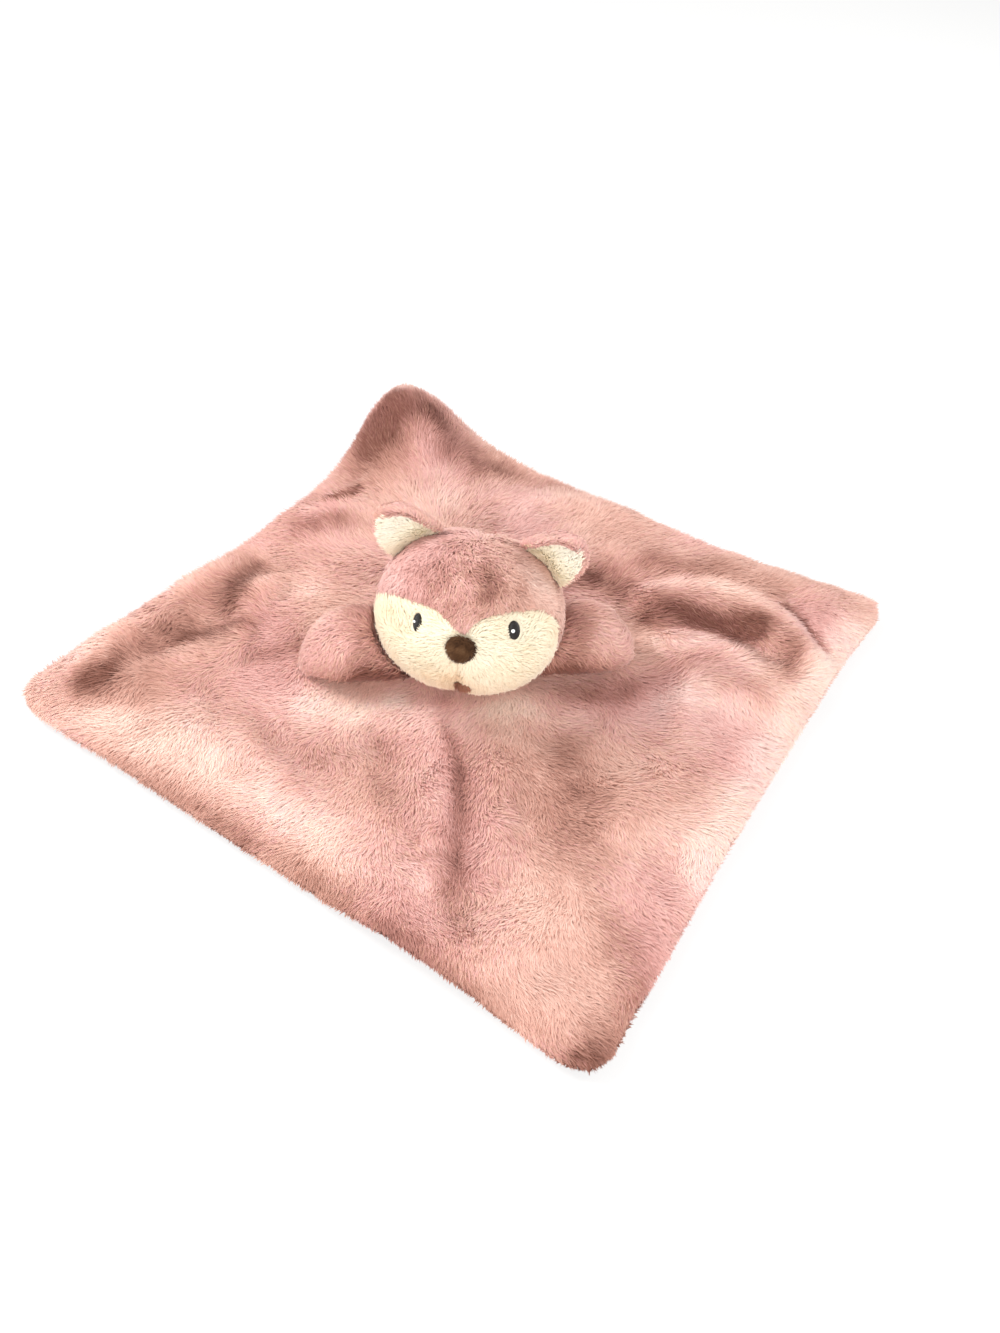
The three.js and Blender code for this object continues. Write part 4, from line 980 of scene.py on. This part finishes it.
def face_pad(name, place, size, seat, rise, cells, ridges=0, taper=0.0, turn=0.0):
    """An oval pad on the face: a half ellipse of its rise over a rim, with ridges of thread across it, wider
    at the top by taper, turned on the face by an angle. The oval's grid is a square drawn to a disc by p
    times the root of 1 less half q squared."""
    middle, across, up, reach = place_on_head(place)
    turned = math.cos(turn), math.sin(turn)
    across, up = across * turned[0] + up * turned[1], up * turned[0] - across * turned[1]
    u, v = np.meshgrid(*(np.linspace(-1, 1, count + 1) for count in cells))
    u = np.sin(u * np.pi / 2)
    a, b = u * np.sqrt(1 - v * v / 2), v * np.sqrt(1 - u * u / 2)
    wide = size[0] * (1 + taper * b)
    directions = middle + across * (a * wide / reach)[..., None] + up * (b * size[1] / reach)[..., None]
    dome = np.sqrt(np.maximum(1 - a * a - b * b, 0))
    height = rise * (0.2 + 0.8 * dome)
    if ridges:
        height = height + stitch_ridge * np.cos(2 * np.pi * ridges * b) * dome
    outer = from_head(head_surface(directions, seat + height))
    inner = from_head(head_surface(directions[::4, ::4], seat - pad_thickness + 0 * dome[::4, ::4]))
    return make_shell(name, outer, inner, 0.5 + 0 * dome), outer


def pad_locks(name, grid, count, seed, nap_of, length, width, tone_wave, pull, lean):
    """A tuft sown over a pad, its nap and its tones read at the places of its roots."""
    roots, normals = sow(grid, grid_normals(grid), count, seed)
    return make_locks(
        name, roots, normals, nap_of(roots), length, width, 0.5 + waves(roots, tone_wave), seed + 1,
        swirl=1.6, pull=pull, lean=lean,
    )


brown_tones = dye((0.0, 44, 26, 16), (0.5, 92, 62, 40), (1.0, 134, 100, 70))
brown_ground = plush_finish("brown_ground", brown_tones, 0.7, False, 0.1)
brown_locks = plush_finish("brown_locks", brown_tones, 0.6, True, 0.15)
nose_core = from_head(head_surface(nose_middle, -nose_core_depth))
nose, nose_grid = face_pad(
    "nose_pad", nose_place, nose_half_sizes, nose_seat, nose_rise, nose_cells, taper=nose_taper
)
nose_pile = pad_locks(
    "nose_pile", nose_grid, nose_lock_count, 401, lambda roots: roots - nose_core + nose_droop,
    tuft_length, tuft_width, (0.3, 0.002, 61), pull=0.0016, lean=(25, 62),
)
dress(nose, brown_ground, "head", "nose")
dress(nose_pile, brown_locks, "head")

black_thread = thread_finish("black_thread", srgb(26, 20, 18), 0.35)
white_thread = thread_finish("white_thread", srgb(250, 250, 248), 0.4)
for side, place in eye_places.items():
    half_sizes = eye_half_sizes[side]
    eye, _ = face_pad(
        f"eye_{side}_stitch", place, half_sizes, eye_seat, eye_rise, eye_cells,
        ridges=eye_ridges, turn=eye_turns[side],
    )
    dress(eye, black_thread, "head", f"eye_{side}")
    left, down = np.degrees(np.array(half_sizes) * glint_shifts / place_on_head(place)[3])
    half_size = glint_share * half_sizes[0]
    glint, _ = face_pad(
        f"eye_glint_{side}_stitch", (place[0] - left, place[1] - down), (half_size, half_size),
        eye_seat + eye_rise * 0.9, glint_rise, glint_cells,
    )
    dress(glint, white_thread, "head", f"eye_glint_{side}")

russet_tones = dye((0.0, 108, 66, 50), (0.5, 146, 96, 76), (1.0, 186, 134, 110))
russet_locks = plush_finish("russet_thread", russet_tones, 0.7, True, 0.1)
russet_ground = plush_finish("russet_ground", russet_tones, 0.7, False, 0.1)
mouth, mouth_grid = face_pad(
    "mouth_pad", mouth_place, mouth_half_sizes, mouth_seat, mouth_rise, mouth_cells
)
mouth_pile = pad_locks(
    "mouth_loops", mouth_grid, mouth_loop_count, 411, lambda roots: mouth_nap + 0 * roots,
    loop_length, loop_width, (0.4, 0.0015, 62), pull=0.001, lean=(20, 60),
)
dress(mouth, russet_ground, "head", "mouth_stitch")
dress(mouth_pile, russet_locks, "head")


# Ears. Each is a rose half disc, padded, whose rim rolls forward round a cream lining, gathered at its root
# and caught in the crown seam.
ear_half_width = 0.014
ear_height = 0.023
ear_thickness = 0.0036
ear_roll = 0.0042
ear_cup = 0.005
ear_curl = 0.009
ear_lean = math.radians(14)
ear_seat = 0.0008
lining_share = 0.78
lining_reach = 0.15
lining_thickness = 0.005
lining_gap = 0.0002
ear_lock_length = 0.0036
lining_lock_length = 0.0042
ear_lock_width = 0.0008
rear_locks, rim_locks, lining_locks = 1900, 1500, 1300
ear_cells, lining_cells = (96, 56), (64, 40)
ear_nap_rise, lining_nap_rise = 0.01, 0.006
lining_root_shade = 0.014
face_way = direction_of(0, 22)


def ear_frame(place, lower_end):
    """The directions of an ear: out of its root, forward and along the root, leaning towards the face; its
    root's middle; and which end of the root is the lower one, 1 or -1."""
    radial = direction_of(*place)
    ahead = unit(face_way - radial * (face_way @ radial))
    along = np.cross(radial, ahead)
    lean = np.array(Matrix.Rotation(ear_lean, 3, along))
    return lean @ radial, lean @ ahead, along, head_surface(radial, ear_seat), lower_end


def ear_surface(ear, share, reach, seat, depth_of, cells):
    """A surface of the ear over a half disc of this share, which grows by reach towards the lower end. Its
    root follows the head; the rest rises straight, curls forward as the square of the height, and is cupped
    as the square of the place across."""
    out, front, along, root, lower_end = ear
    u, v = np.meshgrid(np.linspace(-0.5, 0.5, cells[0] + 1), np.linspace(0, 0.5, cells[1] + 1))
    u, v = np.sin(np.pi * u), np.sin(np.pi * v)
    p, q = u * np.sqrt(1 - v * v / 2), v * np.sqrt(1 - u * u / 2)
    lower = smoothstep(-0.35, 0.5, p * lower_end)
    share = share + reach * lower
    p, q = p * share, q * share
    thick = 0.3 + 0.7 * smoothstep(0, 0.3, q)
    depth = seat + ear_curl * q * q + ear_cup * p * p * np.minimum(1, 2 * q)
    depth = depth + depth_of(np.hypot(p, q), share, lower) * thick
    straight = root + along * (ear_half_width * p)[..., None]
    at_root = head_surface(straight, ear_seat)
    points = at_root + (straight - at_root) * q[..., None]
    return from_head(points + out * (ear_height * q)[..., None] + front * depth[..., None]), np.hypot(p, q)


def ear_rim(radius):
    """How full the ear is: 1 inside, running out in a quarter circle at its rim."""
    return np.sqrt(1 - np.clip((radius - 0.88) / 0.12, 0, 1) ** 2)


def rear_depth(radius, share, lower):
    """The back of the ear, fullest in the middle, less the fourth power of the radius."""
    return -ear_thickness * (0.35 + (0.65 - 0.4 * radius**4) * ear_rim(radius))


def front_depth(radius, share, lower):
    """The front of the ear, with the roll at its rim, which fades out towards the lower end."""
    rise = smoothstep(0.76, 0.9, radius) * ear_roll * (1 - lower)
    return -ear_thickness * 0.35 + (ear_thickness * 0.35 - lining_gap + rise) * ear_rim(radius)


def flat_depth(radius, share, lower):
    """The flat back of the lining."""
    return 0 * radius


def lining_front(radius, share, lower):
    """The front of the lining, fullest in the middle and thin at its edge."""
    return lining_thickness * (1 - (radius / share) ** 4 * (0.5 + 0.25 * lower))


for side, lower_end, seed in (("left", -1, 501), ("right", 1, 521)):
    ear = ear_frame(ear_places[side], lower_end)
    out, front = (x @ head_matrix.T for x in ear[:2])
    bend_start = from_head(ear[3])
    rear, _ = ear_surface(ear, 1, 0, 0, rear_depth, ear_cells)
    face, face_radius = ear_surface(ear, 1, 0, 0, front_depth, ear_cells)
    rear, face, face_radius = turned_to(-front, rear, face, face_radius)
    shell = make_shell(f"ear_{side}_back", rear, face, cloth_tone(rear), share=0.5)
    rear_roots = sow(rear, grid_normals(rear), rear_locks, seed)
    face_weight = smoothstep(0.74, 0.8, face_radius[:-1, :-1])
    face_roots = sow(face, -grid_normals(face), rim_locks, seed + 1, face_weight)
    roots, normals = (np.concatenate(pair) for pair in zip(rear_roots, face_roots))
    tones = np.concatenate([cloth_tone(rear_roots[0], 0.65), cloth_tone(face_roots[0], 0.62)])
    pile = make_locks(
        f"ear_{side}_pile", roots, normals, roots - bend_start + out * ear_nap_rise, ear_lock_length,
        ear_lock_width, tones, seed + 2, pinkness=pink_patches(roots),
    )
    inside, _ = ear_surface(ear, lining_share, lining_reach, lining_gap, lining_front, lining_cells)
    behind, _ = ear_surface(ear, lining_share, lining_reach, 0, flat_depth, lining_cells)
    inside, behind = turned_to(front, inside, behind)
    lining = make_shell(f"ear_{side}_lining", inside, behind[::4, ::4], cloth_tone(inside))
    roots, normals = sow(inside, grid_normals(inside), lining_locks, seed + 3)
    # Painted shade: the lining's pile is darker towards the ear's root, where it meets the head.
    tones = cloth_tone(roots, 0.5) + 0.4 * smoothstep(0, lining_root_shade, (roots - bend_start) @ out)
    lining_pile = make_locks(
        f"ear_{side}_lining_pile", roots, normals, roots - bend_start + out * lining_nap_rise,
        lining_lock_length, ear_lock_width, tones, seed + 4, lean=(40, 65),
    )
    layers = (
        (shell, rose_ground, "rose_plush", f"ear_back_{side}"),
        (pile, rose_locks, "rose_plush", None),
        (lining, cream_ground, "cream_plush", f"ear_lining_{side}"),
        (lining_pile, cream_locks, "cream_plush", None),
    )
    for piece, finish, slot, node in layers:
        dress(piece, finish, None, node)
        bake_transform(piece)


# Arms. Two stuffed stubs of the rose cloth, which lie on the blanket to either side, narrow where they are
# gathered in at the neck, hollowed under the head, and round at their ends.
arm_floor = cloth_thickness + rest_gap
arm_root = 0.012
arm_reaches = {"left": 0.081, "right": 0.087}
arm_turns = {"left": math.radians(172.5), "right": math.radians(-3)}
arm_half_height = 0.0166
arm_half_width = 0.019
arm_tip = 0.027
arm_root_share = 0.5
sweep_radius = 0.0485
sweep_half_height = 0.04005
arm_lock_length = 0.006
arm_lock_width = 0.001
arm_lock_count = 8200
arm_cells = 96
arm_relief = 0.0004
arm_least_height = 0.0008
head_shade = (0.064, 0.05)


def arm_surface(reach, turn, wall, cells):
    """The arm as an oval section carried outwards. Its size rises as a quarter sine from the root, and the
    tip is a half ellipse. It is cut level below, hollowed above by the space that the head sweeps, and drawn
    in by a wall towards each section's middle."""
    shoulder = reach - arm_tip
    tip_rows = cells // 3
    straight = np.linspace(arm_root, shoulder, cells - tip_rows + 1)[:-1]
    tip = shoulder + arm_tip * np.sin(np.linspace(0, np.pi / 2, tip_rows + 1))
    x = np.concatenate([straight, tip])[:, None]
    along = np.clip((x - arm_root) / (shoulder - arm_root), 0, 1)
    past = np.clip((x - shoulder) / arm_tip, 0, 1)
    share = (arm_root_share + (1 - arm_root_share) * np.sin(np.pi / 2 * along)) * np.sqrt(1 - past * past)
    angle = np.linspace(0, 2 * np.pi, cells + 1)[None, :]
    middle = arm_floor - flat_cut + arm_half_height * share
    y = arm_half_width * share * np.cos(angle)
    z = middle + arm_half_height * share * np.sin(angle)
    z = np.maximum(z, arm_floor)
    clear = 1 - np.clip((x * x + y * y) / sweep_radius**2, 0, 1)
    ceiling = head_centre[2] - sweep_half_height * np.sqrt(clear)
    z = np.minimum(z, np.where(clear > 0, np.maximum(ceiling, arm_floor + arm_least_height), z))
    points = np.stack([x + 0 * y, y, z], -1)
    centre = np.concatenate([points[..., :2].mean(1), (z.max(1) + z.min(1))[:, None] / 2], -1)[:, None]
    centre = centre - np.array((1, 0, 0)) * np.minimum(wall, reach - x)[..., None] * (past[..., None] > 0)
    spoke = points - centre
    far = np.maximum(np.linalg.norm(spoke, axis=-1, keepdims=True), 1e-9)
    points = centre + spoke * np.maximum(1 - wall / far, 0.3)
    return points @ np.array(Matrix.Rotation(turn, 3, "Z")).T + head_centre * (1, 1, 0)


for side, seed in (("left", 601), ("right", 611)):
    reach, turn = arm_reaches[side], arm_turns[side]
    outside = arm_surface(reach, turn, pile_depth, arm_cells)
    inside = arm_surface(reach, turn, pile_depth + backing_thickness, arm_cells // 4)
    normals = unit(grid_normals(outside))
    relief = arm_relief * waves(outside, (1, 0.008, 43), (0.5, 0.0035, 44))
    lifted = outside + normals * relief[..., None]
    lifted[:, -1], lifted[-1] = lifted[:, 0], outside[-1]
    cover = make_shell(f"arm_{side}_cover", lifted, inside, cloth_tone(lifted), rims="front")
    upper = normals[:-1, :-1, 2] > -0.5
    roots, root_normals = sow(lifted, normals, arm_lock_count, seed, upper + 0.02)
    ahead = np.array((math.cos(turn), math.sin(turn), -0.35))
    along_arm = np.linalg.norm((roots - head_centre)[:, :2], axis=1)
    # Painted shade: the arm's pile is darker on its underside and near the head, in the head's shadow.
    under_head_shadow = smoothstep(*head_shade, along_arm)
    shaded = smoothstep(0.9, -0.5, root_normals[:, 2]) * smoothstep(reach, reach - arm_tip, along_arm)
    tones = cloth_tone(roots, 0.55) - 0.55 * shaded - 0.2 * under_head_shadow
    pile = make_locks(
        f"arm_{side}_pile", roots, root_normals, ahead + 0 * roots, arm_lock_length, arm_lock_width, tones,
        seed + 1, swirl=1.0, floor=arm_floor, pinkness=pink_patches(roots),
    )
    dress(cover, rose_ground, f"arm_{side}", f"arm_cover_{side}")
    dress(pile, rose_locks, f"arm_{side}")


# Filling. Loose polyester fibre in the head, the arms and the top of the neck. It doesn't show. The head's
# has a socket from below: a ball round the neck's end, and a cone in which the neck can nod.
filling_tones = dye((0.0, 232, 230, 224), (1.0, 250, 249, 246))
filling_finish = plush_finish("filling_fibre", filling_tones, 0.85, False, 0.1)
filling_gap = 0.0007
neck_pivot = -0.008
neck_radius = 0.0086
neck_waist = 0.0072
neck_ball = 0.0104
neck_wall = 0.0014
neck_foot = arm_floor
neck_thread = 0.001
neck_thread_height = 0.0045
socket_gap = 0.0004
socket_slope = math.tan(math.radians(16))
socket_lip = 0.003
socket_start = 0.006
gathers = 14
gather_depth = 0.0003
lump_depth = 0.0003


def fill_form(name, node, body, points):
    """A filling from a closed grid, with soft lumps."""
    lumps = lump_depth + lump_depth * soft_noise(points, 0.009, 51)
    lumped = points - grid_normals(points) * lumps[..., None]
    lumped[0], lumped[-1], lumped[:, -1] = points[0], points[-1], lumped[:, 0]
    piece = make_closed(name, lumped, cloth_tone(lumped))
    dress(piece, filling_finish, body, node)


turns = np.linspace(0, 360, 97)
climbs = np.linspace(-62, 90, 65)
crown_points = head_surface(direction_of(*np.meshgrid(turns, climbs)), -skin_thickness - filling_gap)
throat = neck_radius + 2 * socket_gap
cone_heights = np.linspace(crown_points[0, 0, 2] - socket_lip, neck_pivot - socket_start, 12)
cone = [(throat + (neck_pivot - z) * socket_slope, z) for z in cone_heights]
ball = neck_ball + socket_gap
open_angle = math.acos(min(1, cone[-1][0] / ball))
bowl_angles = np.linspace(-open_angle, np.pi / 2, 20)
bowl = [(ball * math.cos(x), neck_pivot + ball * math.sin(x)) for x in bowl_angles]
profile = np.array((cone + bowl)[::-1])
profile[0, 0] = 0
round_way = direction_of(turns, 0 * turns)
socket = np.stack([round_way * r + np.array((0, 0, z)) for r, z in profile])
fill_form("head_filling", "head_stuffing", "head", from_head(np.concatenate([socket, crown_points])))

wall = pile_depth + backing_thickness + filling_gap
for side in ("left", "right"):
    points = arm_surface(arm_reaches[side], arm_turns[side], wall, arm_cells // 2)
    root = np.broadcast_to(points[0, :-1].mean(0), points[:1].shape)
    fill_form(f"arm_{side}_filling", f"arm_stuffing_{side}", f"arm_{side}", np.concatenate([root, points]))


# Neck. A short sleeve of the rose cloth over a ball of filling, gathered to the blanket and tied with a turn
# of thread. The head sits on its ball, turns and nods.
neck_length = head_centre[2] + neck_pivot - neck_foot
neck_seat = np.array((head_centre[0], head_centre[1], neck_foot))
sleeve_columns, ball_columns = 112, 64


def neck_surface(wall, columns):
    """The neck as a turned profile with gathers: the radius follows the sleeve up to its ball, and a cosine
    of 14 folds fades out before the ball."""
    tie, turn = neck_thread_height, neck_thread
    profile = [(neck_radius, 0), (neck_radius, tie - 2 * turn), (neck_waist, tie - turn / 2)]
    profile += [(neck_waist, tie + turn / 2), (neck_radius * 0.92, tie + 2 * turn)]
    arc = np.radians(np.linspace(-50, 50, 25))
    profile += [(neck_ball * math.cos(x), neck_length + neck_ball * math.sin(x)) for x in arc]
    profile = np.array(profile)
    knots = np.linspace(0, 1, len(profile))
    fine = np.linspace(0, 1, 2 * (len(profile) - 1) + 1)
    radius, height = (np.interp(fine, knots, profile[:, i]) for i in (0, 1))
    angle = np.linspace(0, 2 * np.pi, columns + 1)
    fade = 1 - smoothstep(0.4, 0.7, height / neck_length)
    fold = gather_depth * (np.cos(gathers * angle) - 1)[None] * fade[:, None]
    inside = radius[:, None] + fold - wall
    x, y = inside * np.cos(angle), inside * np.sin(angle)
    points = np.stack([x, y, height[:, None] + 0 * x], -1)
    return points + neck_seat


sleeve = neck_surface(0, sleeve_columns)
sleeve_piece = make_shell(
    "neck_sleeve_cloth", sleeve, neck_surface(neck_wall, sleeve_columns), cloth_tone(sleeve),
    rims="front back", share=0.5,
)
dress(sleeve_piece, rose_ground, "neck", "neck_sleeve")

filling_side = neck_surface(neck_wall + filling_gap, ball_columns)
bottom, top = (np.broadcast_to(filling_side[i, :-1].mean(0), filling_side[:1].shape) for i in (0, -1))
fill_form("neck_filling", "neck_stuffing", "neck", np.concatenate([bottom, filling_side, top]))

ring = np.linspace(0, 2 * np.pi, 97)[:-1]
ring_radius = neck_waist + neck_thread / 2
ring_line = np.stack([ring_radius * np.cos(ring), ring_radius * np.sin(ring), 0 * ring], -1)
ring_line = ring_line + neck_seat + np.array((0, 0, neck_thread_height))
gather = make_thread("neck_gather_tie", ring_line, neck_thread / 2, 8)
dress(gather, rose_thread, "neck", "neck_gather_thread")


# Table, light and camera. A white table top, a broad soft lamp from the upper left, a little behind, weaker
# ones from the right and the front, and white light all round. The camera stands in front, a little to the
# left, and looks down on the toy.
def add_item(name, data):
    """An object of this data in the scene."""
    item = bpy.data.objects.new(name, data)
    bpy.context.collection.objects.link(item)
    return item


def camera_sees(tree, kind, usual, seen, share=1.0):
    """Mixes what the camera sees into the usual surface, by a share."""
    path = tree.nodes.new("ShaderNodeLightPath")
    weight = tree.nodes.new("ShaderNodeMath")
    weight.operation = "MULTIPLY"
    wire(tree, weight, {0: path.outputs["Is Camera Ray"], 1: share})
    mix = wire(tree, "MixShader", {"Fac": weight.outputs[0], 1: usual.outputs[0], 2: seen.outputs[0]})
    wire(tree, tree.nodes[kind + " Output"], {"Surface": mix.outputs[0]})


table_half = 3.0
corners = [(x * table_half, y * table_half, 0) for x, y in ((-1, -1), (1, -1), (1, 1), (-1, 1))]
table_mesh = bpy.data.meshes.new("table_top")
table_mesh.from_pydata(corners, [], [(0, 1, 2, 3)])
finish, tree, shader = new_finish("white_table")
wire(tree, shader, {"Base Color": (0.86, 0.86, 0.85, 1), "Roughness": 0.8})
camera_sees(tree, "Material", shader, tree.nodes.new("ShaderNodeEmission"), 0.72)
table_mesh.materials.append(finish)
add_item("table_top", table_mesh)

lamps = {
    "key_lamp": ((-0.8, 0.5, 1.0), 0.5, 15),
    "side_lamp": ((1.0, 0.3, 0.45), 0.5, 6),
    "fill_lamp": ((-0.2, -1.0, 0.5), 1.0, 10),
}
for name, (place, size, power) in lamps.items():
    light = bpy.data.lights.new(name, "AREA")
    light.size = size
    light.energy = power
    lamp = add_item(name, light)
    away = np.array(place) - head_centre
    lamp.location = place
    tilt = math.atan2(math.hypot(away[0], away[1]), away[2])
    lamp.rotation_euler = (tilt, 0, math.atan2(away[0], -away[1]))

world = bpy.data.worlds.new("white_room")
bpy.context.scene.world = world
world.use_nodes = True
tree = world.node_tree
room = wire(tree, tree.nodes["Background"], {"Color": (1, 0.99, 0.98, 1), "Strength": 0.68})
camera_sees(tree, "World", room, wire(tree, "Background", {"Color": (1, 1, 1, 1)}))

lens = bpy.data.cameras.new("camera")
lens.sensor_fit = "HORIZONTAL"
lens.sensor_width = 36
lens.lens = 39.6
camera = add_item("camera", lens)
camera.location = (-0.11924, -0.35477, 0.441)
camera.rotation_euler = [math.radians(x) for x in (40.2574, -5.7784, -12.5124)]
bpy.context.scene.camera = camera
bpy.context.scene.view_settings.view_transform = "Standard"
